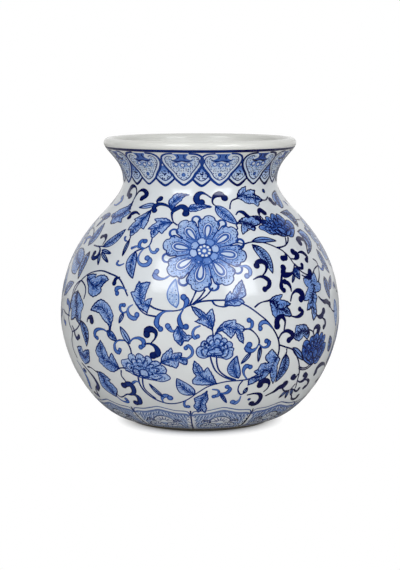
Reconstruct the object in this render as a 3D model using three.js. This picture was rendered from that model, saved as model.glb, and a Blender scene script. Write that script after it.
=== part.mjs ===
// A round-bellied porcelain vase with a waisted neck, a flared mouth and a rolled lip.
// It is thrown in four sections, which are luted together with slip at flat joints
// before firing: the foot ring, the bowl with the floor, the shoulder and the neck.
// Millimetres, +Z up. The origin is on the axis, on the surface that the foot stands on.

import * as THREE from "three";

// Heights, each measured from the one before it, from the table up
const footHeight = 2;
const bowlHeight = 86;
const shoulderHeight = 110;
const flareHeight = 26;
const lipHeight = 9;

// Radii of the outside
const undersideRadius = 60;
const bellyRadius = 115;
const throatRadius = 63.2;
const flareRadius = 76.8;

// Thicknesses and edges
const wall = 5;
const floorThickness = 6;
const floorFillet = 12;
const footInset = 2;
const footWidth = 7;
const footBevel = 0.8;
const lipOverhang = 2.2;
const lipRoll = 4.2;
const neckJointDepth = 15;

// What follows from them: the levels where the wall turns and the sections meet
const waistLevel = footHeight + bowlHeight;
const throatLevel = waistLevel + shoulderHeight;
const neckJointLevel = throatLevel - neckJointDepth;
const flareLevel = throatLevel + flareHeight;

// How the outline curves: its slope where it starts and ends, and how far each
// end of a curve pulls along its own direction
const undersideSlope = THREE.MathUtils.degToRad(10);
const undersidePull = 28;
const bowlPull = 37;
const shoulderPull = 70;
const neckRootPull = 22.5;
const throatPull = 12;
const flareSlope = THREE.MathUtils.degToRad(50);
const flarePull = 10;

// Fineness of the rows of facets
const facetsRound = 64;
const outsideSteps = { bowl: 13, shoulder: 16, flare: 7 };
const insideSteps = { bowl: 9, shoulder: 12, flare: 6 };
const rollSteps = 12;
const filletSteps = 3;
const closestRows = 0.8;

const point = (radius, height) => new THREE.Vector2(radius, height);

// A step from a point, along a slope measured up from the horizontal
function along(start, slope, distance) {
  return point(start.x + distance * Math.cos(slope), start.y + distance * Math.sin(slope));
}

// The outside of the wall, from the edge of the underside up to the flare below the lip
function outline(steps) {
  const upright = Math.PI / 2;
  const underside = point(undersideRadius, footHeight);
  const waist = point(bellyRadius, waistLevel);
  const throat = point(throatRadius, throatLevel);
  const flareEnd = point(flareRadius, flareLevel);
  const bowl = new THREE.CubicBezierCurve(
    underside,
    along(underside, undersideSlope, undersidePull),
    along(waist, upright, -bowlPull),
    waist,
  );
  const shoulder = new THREE.CubicBezierCurve(
    waist,
    along(waist, upright, shoulderPull),
    along(throat, upright, -neckRootPull),
    throat,
  );
  const flare = new THREE.CubicBezierCurve(
    throat,
    along(throat, upright, throatPull),
    along(flareEnd, flareSlope, -flarePull),
    flareEnd,
  );
  return [
    ...bowl.getPoints(steps.bowl),
    ...shoulder.getPoints(steps.shoulder).slice(1),
    ...flare.getPoints(steps.flare).slice(1),
  ];
}

// A rising line moved towards the hollow, square to itself, by a distance
function movedInwards(line, distance) {
  return line.map((here, i) => {
    const before = line[Math.max(i - 1, 0)];
    const after = line[Math.min(i + 1, line.length - 1)];
    const direction = after.clone().sub(before).normalize();
    return point(here.x - direction.y * distance, here.y + direction.x * distance);
  });
}

// The stretch of a rising line between two heights, ending exactly on both
function stretch(line, low, high) {
  const pointAt = (height) => {
    const i = line.findIndex((p, k) => k > 0 && p.y >= height);
    const [below, above] = [line[i - 1], line[i]];
    return below.clone().lerp(above, (height - below.y) / (above.y - below.y));
  };
  const between = line.filter((p) => p.y > low + closestRows && p.y < high - closestRows);
  return [pointAt(low), ...between, pointAt(high)];
}

// A closed outline turned about the upright axis, with its faces pointing out
function turned(points) {
  const shape = [...points];
  if (THREE.ShapeUtils.area(shape) < 0) shape.reverse();
  const meetsAxis = shape.some((p) => p.x === 0);
  if (!meetsAxis) shape.push(shape[0].clone());
  return new THREE.LatheGeometry(shape, facetsRound).rotateX(Math.PI / 2);
}

// The foot ring, turned on the wheel, with both edges of its bearing face bevelled
function footRing() {
  const outerRadius = undersideRadius - footInset;
  const innerRadius = outerRadius - footWidth;
  return [
    point(innerRadius + footBevel, 0),
    point(outerRadius - footBevel, 0),
    point(outerRadius, footBevel),
    point(outerRadius, footHeight),
    point(innerRadius, footHeight),
    point(innerRadius, footBevel),
  ];
}

// The floor and the wall up to the widest point, with a soft fillet between them inside
function bowl(outside, inside) {
  const floorTop = footHeight + floorThickness;
  const wallOutside = stretch(outside, footHeight, waistLevel);
  const wallInside = stretch(inside, floorTop + floorFillet / 2, waistLevel);
  const filletTop = wallInside[0];
  const fillet = new THREE.QuadraticBezierCurve(
    filletTop,
    point(filletTop.x - floorFillet / 2, floorTop),
    point(filletTop.x - floorFillet * 2, floorTop),
  );
  return [
    point(0, footHeight),
    ...wallOutside,
    ...wallInside.reverse(),
    ...fillet.getPoints(filletSteps).slice(1),
    point(0, floorTop),
  ];
}

// The wall from the widest point up to the joint at the root of the neck
function shoulder(outside, inside) {
  return [
    ...stretch(outside, waistLevel, neckJointLevel),
    ...stretch(inside, waistLevel, neckJointLevel).reverse(),
  ];
}

// The waisted neck with its flare, and the roll of clay that makes the lip
function neck(outside, inside) {
  const rollCentre = point(
    flareRadius + lipOverhang - lipRoll,
    flareLevel + lipHeight - lipRoll,
  );
  const rollStart = -Math.PI / 8;
  const roll = [];
  for (let i = 0; i <= rollSteps; i++) {
    const turn = THREE.MathUtils.lerp(rollStart, Math.PI, i / rollSteps);
    roll.push(along(rollCentre, turn, lipRoll));
  }
  return [
    ...stretch(outside, neckJointLevel, flareLevel),
    ...roll,
    ...stretch(inside, neckJointLevel, flareLevel - wall / 2).reverse(),
  ];
}

const glaze = new THREE.MeshStandardMaterial({ color: 0xe4e4df, roughness: 0.12, metalness: 0 });
const bareClay = new THREE.MeshStandardMaterial({ color: 0xcfc6b6, roughness: 0.8, metalness: 0 });

const vase = new THREE.Group();

function addSection(name, points, material) {
  const mesh = new THREE.Mesh(turned(points), material);
  mesh.name = name;
  vase.add(mesh);
}

const outside = outline(outsideSteps);
const inside = movedInwards(outline(insideSteps), wall);

addSection("foot_ring", footRing(), bareClay);
addSection("lower_body", bowl(outside, inside), glaze.clone());
addSection("upper_body", shoulder(outside, inside), glaze.clone());
addSection("neck", neck(outside, inside), glaze.clone());

export default vase;
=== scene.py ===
"""A round-bellied porcelain vase with a blue flower scroll painted under a clear glaze.

The glazed body is one turned skin, and the painting is thin sheets that lie on it. The
painting is drawn on a chart of the outside: azimuth in degrees, 0 towards the viewer and
positive to the viewer's right, and climb, the way up along the surface from the edge of
the underside, in millimetres. A chart point with a third value is a corner.
"""

import math

import bpy
import numpy as np
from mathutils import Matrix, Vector, geometry


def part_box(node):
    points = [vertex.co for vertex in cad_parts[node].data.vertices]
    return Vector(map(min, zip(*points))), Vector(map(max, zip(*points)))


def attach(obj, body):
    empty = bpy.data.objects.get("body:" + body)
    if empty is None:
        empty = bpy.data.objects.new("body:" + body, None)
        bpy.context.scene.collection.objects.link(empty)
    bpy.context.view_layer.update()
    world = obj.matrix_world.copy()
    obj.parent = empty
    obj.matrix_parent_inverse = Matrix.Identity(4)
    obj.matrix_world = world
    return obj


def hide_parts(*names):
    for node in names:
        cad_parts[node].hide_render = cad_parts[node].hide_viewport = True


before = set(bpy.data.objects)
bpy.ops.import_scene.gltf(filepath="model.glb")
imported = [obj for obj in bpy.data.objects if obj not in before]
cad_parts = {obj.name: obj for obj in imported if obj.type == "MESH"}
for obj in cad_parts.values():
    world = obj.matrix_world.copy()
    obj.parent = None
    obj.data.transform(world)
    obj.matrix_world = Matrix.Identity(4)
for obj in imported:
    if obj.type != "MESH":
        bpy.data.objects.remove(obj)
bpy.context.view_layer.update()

MM = 0.001

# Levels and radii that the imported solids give, in millimetres
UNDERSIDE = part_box("foot_ring")[1].z / MM
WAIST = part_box("lower_body")[1].z / MM
BELLY_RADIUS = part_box("upper_body")[1].x / MM
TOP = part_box("neck")[1].z / MM
FOOT_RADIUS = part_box("foot_ring")[1].x / MM
LIP_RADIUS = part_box("neck")[1].x / MM

# The rest of the outline, as the solids have it
UNDERSIDE_RADIUS = FOOT_RADIUS + 2
THROAT_RADIUS = 63.2
THROAT = WAIST + 110
FLARE_RADIUS = LIP_RADIUS - 2.2
FLARE = TOP - 9
LIP_ROLL = 4.2
ROLL_CENTRE = (LIP_RADIUS - LIP_ROLL, TOP - LIP_ROLL)
ROLL_START = -math.pi / 8
WALL = 5
BASE_THICKNESS = 6
UNDERSIDE_SLOPE = math.radians(10)
FLARE_SLOPE = math.radians(50)
UNDERSIDE_PULL = 28
BOWL_PULL = 37
SHOULDER_PULL = 70
NECK_ROOT_PULL = 22.5
THROAT_PULL = 12
FLARE_PULL = 10

# The fillet inside, between wall and floor: points inwards from the wall and above the floor
FILLET_TOP = 6
FILLET = ((5, 1.6), (14, 0), (24, 0))

# The skin and the sheets on it
SKIN_INSET = 0.15
SKIN_COLUMNS = 384
SKIN_STEP = 1.6
LIFT = 0.03

# How far a stroke's core and its edge's colour reach, as shares of half its width, and a dot's
CORE_OUT = 0.5
EDGE_IN = 0.74
DOT_CORE = 0.55

# Widths of strokes, the step between a stroke's points, and the teeth of cut leaves
STEM_WIDTH = 1.45
CURL_START = 1.2
LEAF_LINE = [1.2, 0.9, 1.3, 0.9, 1.2]
STROKE_STEP = 1.2
TOOTH_PITCH = 3.8
TOOTH_DEPTH = 0.42

# How far an outline bulges between two neighbouring corners, as a share of their distance
BULGE = 0.07

# The glaze and the clay
GLAZE_IOR = 1.5
GLAZE_ROUGHNESS = 0.14
INSIDE_ROUGHNESS = 0.4
GLAZE_UNEVENNESS = 0.1
GLAZE_WHITE = (0.69, 0.705, 0.70)
COBALT_BLUE = (0.05, 0.09, 0.33)
# The foot's clay and its darker and lighter grain, all painted dark: painted shade under the vase
CLAY_WITH_SHADE = (0.34, 0.29, 0.23)
DARK_GRAIN_WITH_SHADE = (0.26, 0.22, 0.17)
LIGHT_GRAIN_WITH_SHADE = (0.40, 0.35, 0.28)

# The front half of the scroll starts here and is painted again half a turn on
HALF_START = -70
HALF = 180

# What stays free where the chart is laid out for baking: degrees at its side, share of its height
SPARE = 6
BAKE_MARGIN = 0.01

# Strengths of the pigment
WHITE = 0.0
PALE = 0.24
PETAL = 0.30
LEAF = 0.31
DEEP = 0.4
SOFT = 0.52
STEM = 0.92
INKY = 0.93
INK = 1.0

# The pigment's strength is scaled by azimuth, most to the right: azimuths, and the gain at each
GAIN_BY_AZIMUTH = ((-45, -25, 18, 32, 75, 95), (1.04, 0.95, 0.95, 1.18, 1.18, 1.04))

# The camera, as the outline's ellipses give it
PHOTO_HEIGHT = 570
FOCAL_PIXELS = 1951
EYE = (0, -1.6, 0.307)
TARGET = (0, 0, 0.111)

# The room and the softboxes that the glaze mirrors, and the floor
DIFFUSE_ROOM = 0.30
DARK_ROOM = 0.03
PAPER = 0.9
MIRRORED_FLOOR = (0.05, 0.35)
FLOOR_EDGE = (-0.2, 0.25)
PAPER_EDGE = (0.48, 0.62)
VASE_MIDDLE = (0, 0, 0.13)
LAMP_DISTANCE = 1.25
SOFTBOX = (0.55, 0.65)
SOFTBOX_COLOUR = (0.95, 0.97, 1.0)
FLOOR_HALF = 3.0
SHADOW_SHAPE = (1.12, 0.93, 1)
SHADOW_START = 0.054
SHADOW_END = 0.078

# Lamps: azimuth and elevation seen from the vase, and power
KEY_LEFT = (-28, 34, 6.4)
KEY_RIGHT = (35, 30, 6.4)
FILL_BACK = (180, 20, 5.5)

# The painter's hand, the only source of chance, and the same in every run
hand = np.random.default_rng(7)


def bezier(ends, count):
    """Points on a cubic curve, its last one left out."""
    t = np.linspace(0, 1, count, endpoint=False)[:, None]
    a, b, c, d = (np.array(p, float) for p in ends)
    return (1 - t) ** 3 * a + 3 * t * (1 - t) ** 2 * b + 3 * t * t * (1 - t) * c + t**3 * d


def along(start, slope, distance):
    """The point at a distance from another, in a direction given as an angle."""
    return (start[0] + distance * math.cos(slope), start[1] + distance * math.sin(slope))


def outside_line():
    """The outside from the underside's edge to the lip, as close points (radius, level)."""
    upright = math.pi / 2
    underside = (UNDERSIDE_RADIUS, UNDERSIDE)
    waist = (BELLY_RADIUS, WAIST)
    throat = (THROAT_RADIUS, THROAT)
    flare = (FLARE_RADIUS, FLARE)
    bowl = bezier([underside, along(underside, UNDERSIDE_SLOPE, UNDERSIDE_PULL),
                   along(waist, upright, -BOWL_PULL), waist], 300)
    shoulder = bezier([waist, along(waist, upright, SHOULDER_PULL),
                       along(throat, upright, -NECK_ROOT_PULL), throat], 400)
    neck = bezier([throat, along(throat, upright, THROAT_PULL),
                   along(flare, FLARE_SLOPE, -FLARE_PULL), flare], 150)
    under_lip = np.linspace(flare, along(ROLL_CENTRE, ROLL_START, LIP_ROLL), 8)
    return np.concatenate([bowl, shoulder, neck, under_lip])


def normals_of(line):
    """Unit normals of a rising line, pointing away from the axis."""
    direction = np.gradient(line, axis=0)
    direction /= np.linalg.norm(direction, axis=1)[:, None]
    return np.stack([direction[:, 1], -direction[:, 0]], axis=1)


OUTSIDE = outside_line()
OUTWARD = normals_of(OUTSIDE)
CLIMB = np.concatenate([[0], np.cumsum(np.hypot(*np.diff(OUTSIDE, axis=0).T))])
CLIMB_TOP = CLIMB[-1]
FLARE_CLIMB = np.interp(FLARE, OUTSIDE[:, 1], CLIMB)


def degree_at(climb):
    """The length of one degree round the vase, in millimetres."""
    return math.radians(1) * np.interp(climb, CLIMB, OUTSIDE[:, 0])


def on_vase(azimuth, climb, lift):
    """Places and normals, in metres, of chart points that lie a little above the skin."""
    azimuth = np.radians(np.asarray(azimuth, float))
    radius, level = (np.interp(climb, CLIMB, OUTSIDE[:, i]) for i in (0, 1))
    out, up = (np.interp(climb, CLIMB, OUTWARD[:, i]) for i in (0, 1))
    radius = radius + (lift - SKIN_INSET) * out
    level = level + (lift - SKIN_INSET) * up
    place = np.stack([radius * np.sin(azimuth), -radius * np.cos(azimuth), level], axis=-1)
    normal = np.stack([out * np.sin(azimuth), -out * np.cos(azimuth), up], axis=-1)
    return place * MM, normal / np.linalg.norm(normal, axis=-1)[..., None]


# Materials

# The glaze's colour by its level, as a share of the height, with painted light: lighter low, bluer on the
# shoulder
GLAZE_AND_LIGHT_BY_LEVEL = [(0.0, (0.75, 0.755, 0.73)), (0.3, (0.745, 0.755, 0.74)),
                  (0.45, (0.70, 0.715, 0.71)), (0.6, (0.68, 0.705, 0.72)),
                  (0.94, (0.68, 0.705, 0.715)), (1.0, (0.725, 0.72, 0.675))]


def principled(name, colour, roughness):
    """A plain material with its node tree and its shader."""
    material = bpy.data.materials.new(name)
    material.use_nodes = True
    shader = material.node_tree.nodes["Principled BSDF"]
    shader.inputs["Base Color"].default_value = (*colour, 1)
    shader.inputs["Roughness"].default_value = roughness
    return material, material.node_tree, shader


def glaze_over(shader, roughness=GLAZE_ROUGHNESS):
    """The clear glaze over a colour."""
    shader.inputs["IOR"].default_value = GLAZE_IOR
    shader.inputs["Coat Weight"].default_value = 1
    shader.inputs["Coat Roughness"].default_value = roughness
    shader.inputs["Coat IOR"].default_value = GLAZE_IOR
    shader.inputs["Specular IOR Level"].default_value = 0


def node(tree, kind, **values):
    """A node with values for its inputs or for its settings."""
    made = tree.nodes.new(kind)
    for key, value in values.items():
        if key in made.inputs:
            made.inputs[key].default_value = value
        else:
            setattr(made, key, value)
    return made


def map_range(tree, old, new):
    """A node that maps the range old onto the range new."""
    made = node(tree, "ShaderNodeMapRange")
    for name, value in zip(("From Min", "From Max", "To Min", "To Max"), (*old, *new)):
        made.inputs[name].default_value = value
    return made


def wire(tree, *links):
    """Links nodes: each link is a node, its output, the next node and that one's input."""
    for start, output, end, entry in links:
        tree.links.new(start.outputs[output], end.inputs[entry])


def ramp(tree, stops):
    """A colour ramp through places with a colour each."""
    made = tree.nodes.new("ShaderNodeValToRGB")
    first, last = made.color_ramp.elements
    first.position, first.color = stops[0][0], (*stops[0][1], 1)
    last.position, last.color = stops[-1][0], (*stops[-1][1], 1)
    for position, colour in stops[1:-1]:
        made.color_ramp.elements.new(position).color = (*colour, 1)
    return made


def porcelain(name, glaze_roughness):
    """White clay under a glaze with painted light by level, lighter low down and bluer on the shoulder,
    and faint unevenness.
    """
    material, tree, shader = principled(name, GLAZE_WHITE, 0.4)
    glaze_over(shader, glaze_roughness)
    place = node(tree, "ShaderNodeTexCoord")
    parts = node(tree, "ShaderNodeSeparateXYZ")
    spots = node(tree, "ShaderNodeTexNoise", Scale=26.0, Detail=4.0, Roughness=0.6)
    level = map_range(tree, (0, TOP * MM), (0, 1))
    mixed = node(tree, "ShaderNodeMath", operation="MULTIPLY_ADD")
    mixed.inputs[1].default_value = GLAZE_UNEVENNESS
    # The colour by level, with the light painted in
    tint = ramp(tree, GLAZE_AND_LIGHT_BY_LEVEL)
    wire(tree, (place, "Object", parts, 0), (place, "Object", spots, "Vector"),
         (parts, "Z", level, "Value"), (spots, "Fac", mixed, 0), (level, "Result", mixed, 2),
         (mixed, 0, tint, "Fac"), (tint, "Color", shader, "Base Color"))
    return material


def biscuit():
    """The bare, slightly rough clay of the foot, painted darker than bare clay is: painted shade under
    the vase.
    """
    material, tree, shader = principled("shaded_bare_clay", CLAY_WITH_SHADE, 0.85)
    grain = node(tree, "ShaderNodeTexNoise", Scale=400.0, Detail=6.0, Roughness=0.7)
    tint = ramp(tree, [(0.3, DARK_GRAIN_WITH_SHADE), (0.7, LIGHT_GRAIN_WITH_SHADE)])
    bump = node(tree, "ShaderNodeBump", Strength=0.25, Distance=0.0003)
    place = node(tree, "ShaderNodeTexCoord")
    wire(tree, (place, "Object", grain, "Vector"), (grain, "Fac", tint, "Fac"),
         (tint, "Color", shader, "Base Color"), (grain, "Fac", bump, "Height"),
         (bump, "Normal", shader, "Normal"))
    return material


# Colours of the pigment by its strength, from bare glaze to the thickest ink
COBALT_STOPS = [(0.0, (0.66, 0.70, 0.72)), (0.15, (0.455, 0.565, 0.75)),
                (0.35, (0.175, 0.30, 0.62)), (0.55, (0.056, 0.14, 0.44)),
                (0.75, (0.009, 0.046, 0.25)), (1.0, (0.0003, 0.0025, 0.06))]


def cobalt(name, pooling, dulled_and_sheen):
    """Pigment of the strength that the points carry, pooled unevenly, and greyed by a share: fine lines
    mixing and a painted reflection.
    """
    material, tree, shader = principled(name, COBALT_BLUE, 0.4)
    glaze_over(shader)
    strength = node(tree, "ShaderNodeAttribute", attribute_name="strength")
    spots = node(tree, "ShaderNodeTexNoise", Scale=600.0, Detail=3.0, Roughness=0.7)
    shift = node(tree, "ShaderNodeMath", operation="SUBTRACT")
    shift.inputs[1].default_value = 0.5
    gain = node(tree, "ShaderNodeMath", operation="MULTIPLY_ADD")
    gain.inputs[1].default_value = pooling
    tint = ramp(tree, [(place, tuple(c + dulled_and_sheen * (sum(colour) / 3 - c) for c in colour))
                       for place, colour in COBALT_STOPS])
    where = node(tree, "ShaderNodeTexCoord")
    wire(tree, (where, "Object", spots, "Vector"), (spots, "Fac", shift, 0), (shift, 0, gain, 0),
         (strength, "Fac", gain, 2), (gain, 0, tint, "Fac"), (tint, "Color", shader, "Base Color"))
    return material


# The glazed body

def body_line():
    """The outline from the axis underneath to the axis inside, and how many points lie outside."""
    steps = int(CLIMB_TOP / SKIN_STEP)
    climbs = np.linspace(0, CLIMB_TOP, steps + 1)
    outer = np.stack([np.interp(climbs, CLIMB, OUTSIDE[:, i]) for i in (0, 1)], axis=1)
    away = np.stack([np.interp(climbs, CLIMB, OUTWARD[:, i]) for i in (0, 1)], axis=1)
    outer_skin = outer - SKIN_INSET * away
    turns = np.linspace(ROLL_START, math.pi, 40)[1:]
    roll = [along(ROLL_CENTRE, turn, LIP_ROLL - SKIN_INSET) for turn in turns]
    inner = (outer - (WALL - SKIN_INSET) * away)[::-2]
    level = UNDERSIDE + BASE_THICKNESS
    inner = inner[(inner[:, 1] < FLARE - WALL / 2) & (inner[:, 1] > level + FILLET_TOP)]
    meet = inner[-1]
    fillet = bezier([meet, *((meet[0] - inwards, level + high) for inwards, high in FILLET)], 12)
    flat = [(r, level) for r in np.linspace(meet[0] - FILLET[-1][0], 0, 10)]
    under = [(r, UNDERSIDE) for r in np.linspace(0, UNDERSIDE_RADIUS - 1, 16)]
    outer_points = len(under) + len(outer_skin) + len(roll)
    return np.concatenate([under, outer_skin, roll, inner, fillet[1:], flat]), outer_points


def revolve(name, line, outer_points, columns, materials):
    """A closed skin turned about the axis, with a second material on its inside."""
    turns = np.linspace(0, 2 * math.pi, columns, endpoint=False)
    ring = line[1:-1]
    verts = np.stack([
        np.outer(ring[:, 0], np.sin(turns)),
        -np.outer(ring[:, 0], np.cos(turns)),
        np.outer(ring[:, 1], np.ones(columns)),
    ], axis=-1).reshape(-1, 3)
    ends = np.array([(0, 0, line[0][1]), (0, 0, line[-1][1])])
    rows = len(ring)
    faces = []
    for row in range(rows - 1):
        for column in range(columns):
            after = (column + 1) % columns
            low, high = row * columns, (row + 1) * columns
            faces.append((low + column, low + after, high + after, high + column))
    first, last = rows * columns, rows * columns + 1
    for column in range(columns):
        after = (column + 1) % columns
        faces.append((first, after, column))
        faces.append((last, (rows - 1) * columns + column, (rows - 1) * columns + after))
    mesh = bpy.data.meshes.new(name)
    mesh.from_pydata((np.concatenate([verts, ends]) * MM).tolist(), [], faces)
    mesh.shade_smooth()
    for material in materials:
        mesh.materials.append(material)
    lining = [int(row >= outer_points - 2) for row in range(rows - 1) for _ in range(columns)]
    mesh.polygons.foreach_set("material_index", lining + [0, 1] * columns)
    made = bpy.data.objects.new(name, mesh)
    bpy.context.scene.collection.objects.link(made)
    return made


# Lines and outlines on the chart

def smooth(points, closed=False, step=1.0):
    """A smooth curve through chart points, as points about one step apart."""
    points = np.array([p[:2] for p in points], float)
    scale = np.array([math.radians(1) * BELLY_RADIUS, 1])
    p = points * scale
    if closed:
        p = np.concatenate([p[-1:], p, p[:2]])
    else:
        p = np.concatenate([2 * p[:1] - p[1:2], p, 2 * p[-1:] - p[-2:-1]])
    out = []
    for a, b, c, d in zip(p, p[1:], p[2:], p[3:]):
        count = max(2, int(np.linalg.norm(c - b) / step))
        t = np.linspace(0, 1, count, endpoint=False)[:, None]
        out.append(0.5 * (2 * b + (c - a) * t + (2 * a - 5 * b + 4 * c - d) * t**2
                          + (3 * b - a - 3 * c + d) * t**3))
    if not closed:
        out.append(p[-2:-1])
    return np.concatenate(out) / scale


def turning(points):
    """1 for an outline that runs anticlockwise, -1 for the other way."""
    a, b = np.array([p[:2] for p in points]), np.array([p[:2] for p in points[1:] + points[:1]])
    return math.copysign(1, (a[:, 0] * b[:, 1] - a[:, 1] * b[:, 0]).sum())


def outline(points):
    """A closed outline, smooth but for its corners, bulging between neighbouring corners."""
    points = list(points)
    corners = [i for i, p in enumerate(points) if len(p) > 2]
    if not corners:
        return smooth(points, closed=True)
    points = points[corners[0]:] + points[:corners[0]] + [points[corners[0]]]
    side = turning(points[:-1])
    out, run = [], [points[0]]
    for point in points[1:]:
        run.append(point)
        if len(point) < 3:
            continue
        if len(run) == 2:
            a, b = np.array(run[0][:2]), np.array(run[1][:2])
            per_degree = degree_at((a[1] + b[1]) / 2)
            way = (b - a) * (per_degree, 1)
            push = np.array([way[1] / per_degree, -way[0]]) * side * BULGE
            run.insert(1, tuple((a + b) / 2 + push))
        out.append(smooth(run)[:-1])
        run = [point]
    return np.concatenate(out)


def inside(edge, points):
    """Which chart points lie inside a closed outline."""
    x, y = points[:, 0, None], points[:, 1, None]
    ax, ay = edge[:, 0], edge[:, 1]
    bx, by = np.roll(ax, -1), np.roll(ay, -1)
    crosses = (ay > y) != (by > y)
    with np.errstate(divide="ignore", invalid="ignore"):
        meets = ax + (y - ay) * (bx - ax) / (by - ay)
    return (crosses & (x < meets)).sum(1) % 2 == 1


def depth_in(edge, points):
    """How far chart points are from an outline, in millimetres."""
    scale = (degree_at(edge[:, 1].mean()), 1)
    apart = (points[:, None] - edge[None]) * scale
    return np.hypot(apart[..., 0], apart[..., 1]).min(1)


def grid_in(edge, spacing, margin, jitter=0.0):
    """Chart points spread inside an outline, away from its edge."""
    per_degree = degree_at(edge[:, 1].mean())
    low, high = edge.min(0), edge.max(0)
    x, y = np.meshgrid(np.arange(low[0], high[0], spacing / per_degree),
                       np.arange(low[1], high[1], spacing))
    points = np.stack([x.ravel(), y.ravel()], axis=1)
    points += hand.uniform(-jitter, jitter, points.shape) * (spacing / per_degree, spacing)
    if not len(points):
        return points
    points = points[inside(edge, points)]
    return points[depth_in(edge, points) > margin] if len(points) else points


def polar(centre, angle, distance):
    """The chart point at an angle and a distance in millimetres from another."""
    climb = centre[1] + distance * math.sin(math.radians(angle))
    across = distance * math.cos(math.radians(angle))
    return (centre[0] + across / degree_at((climb + centre[1]) / 2), climb)


def framed(centre, angle, shape):
    """Puts (outwards, sideways) places of a petal on the chart."""
    out = []
    for place in shape:
        distance = math.hypot(place[0], place[1])
        turn = angle + math.degrees(math.atan2(place[1], place[0]))
        out.append((*polar(centre, turn, distance), *place[2:]))
    return out



class Sheet:
    """Flat painting on the vase: chart points with a strength each, and faces between them."""

    def __init__(self, name, slot, pooling, layer, turns=(0, HALF), dulled_and_sheen=0.0):
        self.name = name
        self.slot = slot
        self.material = cobalt(name, pooling, dulled_and_sheen)
        self.layer = layer
        self.turns = turns
        self.points = []
        self.strengths = []
        self.faces = []
        self.count = 0

    def add(self, points, faces, strength):
        """Adds points and the faces between them, numbered from the first of these points."""
        self.points.append(np.asarray(points, float))
        self.strengths.append(np.broadcast_to(strength, len(points)).astype(float))
        self.faces += [tuple(i + self.count for i in face) for face in faces]
        self.count += len(points)

    def stroke(self, points, widths, strength=INK, core=None, curved=True):
        """A brush stroke whose width runs through the given widths from its start to its end."""
        line = np.array([p[:2] for p in points], float)
        if curved:
            line = smooth(points, step=STROKE_STEP)
        per_degree = degree_at(line[:, 1])
        way = np.gradient(line, axis=0)
        way[:, 0] *= per_degree
        way /= np.linalg.norm(way, axis=1)[:, None] + 1e-9
        run = np.linspace(0, 1, len(line))
        half = np.interp(run, np.linspace(0, 1, len(widths)), widths) / 2
        half = half * (1 + 0.12 * np.sin(run * hand.uniform(4, 9) + hand.uniform(0, 6)))
        across = np.stack([-way[:, 1] * half / per_degree, way[:, 0] * half], axis=1)
        rails = [(1, strength), (-1, strength)]
        if core is not None:
            rails[1:1] = [(EDGE_IN, strength), (CORE_OUT, core), (-CORE_OUT, core), (-EDGE_IN, strength)]
        n = len(line)
        tone = hand.uniform(-0.05, 0.03)
        points = np.concatenate([line + side * across for side, _ in rails])
        strengths = np.concatenate([np.full(n, value + tone) for _, value in rails])
        faces = [(i + k * n + n, i + k * n + n + 1, i + k * n + 1, i + k * n)
                 for k in range(len(rails) - 1) for i in range(n - 1)]
        self.add(points, faces, strengths)
        for i in (0, -1):
            if half[i] > 0.45:
                self.dot(line[i], half[i], strength, core)

    def dot(self, centre, radius, strength=INK, core=None, sides=10):
        """A round touch of the brush, with a core of another strength where one is given."""
        per_degree = degree_at(centre[1])
        turns = np.linspace(0, 2 * math.pi, sides, endpoint=False)
        rings = [[(centre[0] + share * radius * math.cos(t) / per_degree,
                   centre[1] + share * radius * math.sin(t)) for t in turns]
                 for share in (1, DOT_CORE)]
        if core is None:
            self.add(rings[0], [tuple(range(sides))], strength)
        else:
            faces = [(i, (i + 1) % sides, sides + (i + 1) % sides, sides + i) for i in range(sides)]
            faces.append(tuple(range(sides, 2 * sides)))
            self.add(rings[0] + rings[1], faces, [strength] * sides + [core] * sides)

    def patch(self, edge, strength, spacing=2.2, middle=0.0):
        """A filled outline, stronger or weaker towards its middle."""
        edge = np.asarray(edge, float)
        scale = np.array([degree_at(edge[:, 1].mean()), 1])
        grid = grid_in(edge, spacing, spacing * 0.4)
        points = [Vector(p) for p in np.concatenate([edge, grid]) * scale]
        loop = [list(range(len(edge)))]
        verts, _, faces, *_ = geometry.delaunay_2d_cdt(points, [], loop, 1, 1e-5)
        chart = np.array([tuple(v) for v in verts]) / scale
        depth = depth_in(edge, chart)
        base = strength(chart) if callable(strength) else strength
        value = base + middle * np.clip(depth / 4, 0, 1) + hand.uniform(-0.04, 0.04)
        self.add(chart, [tuple(f) for f in faces], value)

    def build(self):
        """Makes the mesh, once for each turn round the vase, with the skin's own normals."""
        chart = np.concatenate(self.points)
        strengths = np.concatenate(self.strengths) * np.interp(chart[:, 0], *GAIN_BY_AZIMUTH)
        count = len(chart)
        turned = np.concatenate([chart + (turn, 0) for turn in self.turns])
        place, normal = on_vase(turned[:, 0], turned[:, 1], self.layer * LIFT)
        faces = [tuple(i + k * count for i in face) for k in range(len(self.turns))
                 for face in self.faces]
        mesh = bpy.data.meshes.new(self.name)
        mesh.from_pydata(place.tolist(), [], faces)
        mesh.shade_smooth()
        mesh.normals_split_custom_set_from_vertices(normal.tolist())
        attribute = mesh.attributes.new("strength", "FLOAT", "POINT")
        attribute.data.foreach_set("value", np.tile(strengths, len(self.turns)))
        self.unwrap(mesh, chart)
        mesh.materials.append(self.material)
        made = bpy.data.objects.new(self.name, mesh)
        bpy.context.scene.collection.objects.link(made)
        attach(made, "root")

    def unwrap(self, mesh, chart):
        """Lays the chart out for baking, one half of the vase above the other."""
        rows = len(self.turns)
        span = 2 * HALF / rows + SPARE
        start = HALF_START if rows > 1 else FIRST_LAPPET - SPARE / 2
        across = (chart[:, 0] - start) / span
        up = BAKE_MARGIN + (1 - 2 * BAKE_MARGIN) * chart[:, 1] / CLIMB_TOP
        places = np.concatenate([np.stack([across, (k + up) / rows], axis=1) for k in range(rows)])
        corners = np.empty(len(mesh.loops), dtype=np.int32)
        mesh.loops.foreach_get("vertex_index", corners)
        layer = mesh.uv_layers.new(name="OFBake")
        layer.data.foreach_set("uv", places[corners].ravel())


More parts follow.
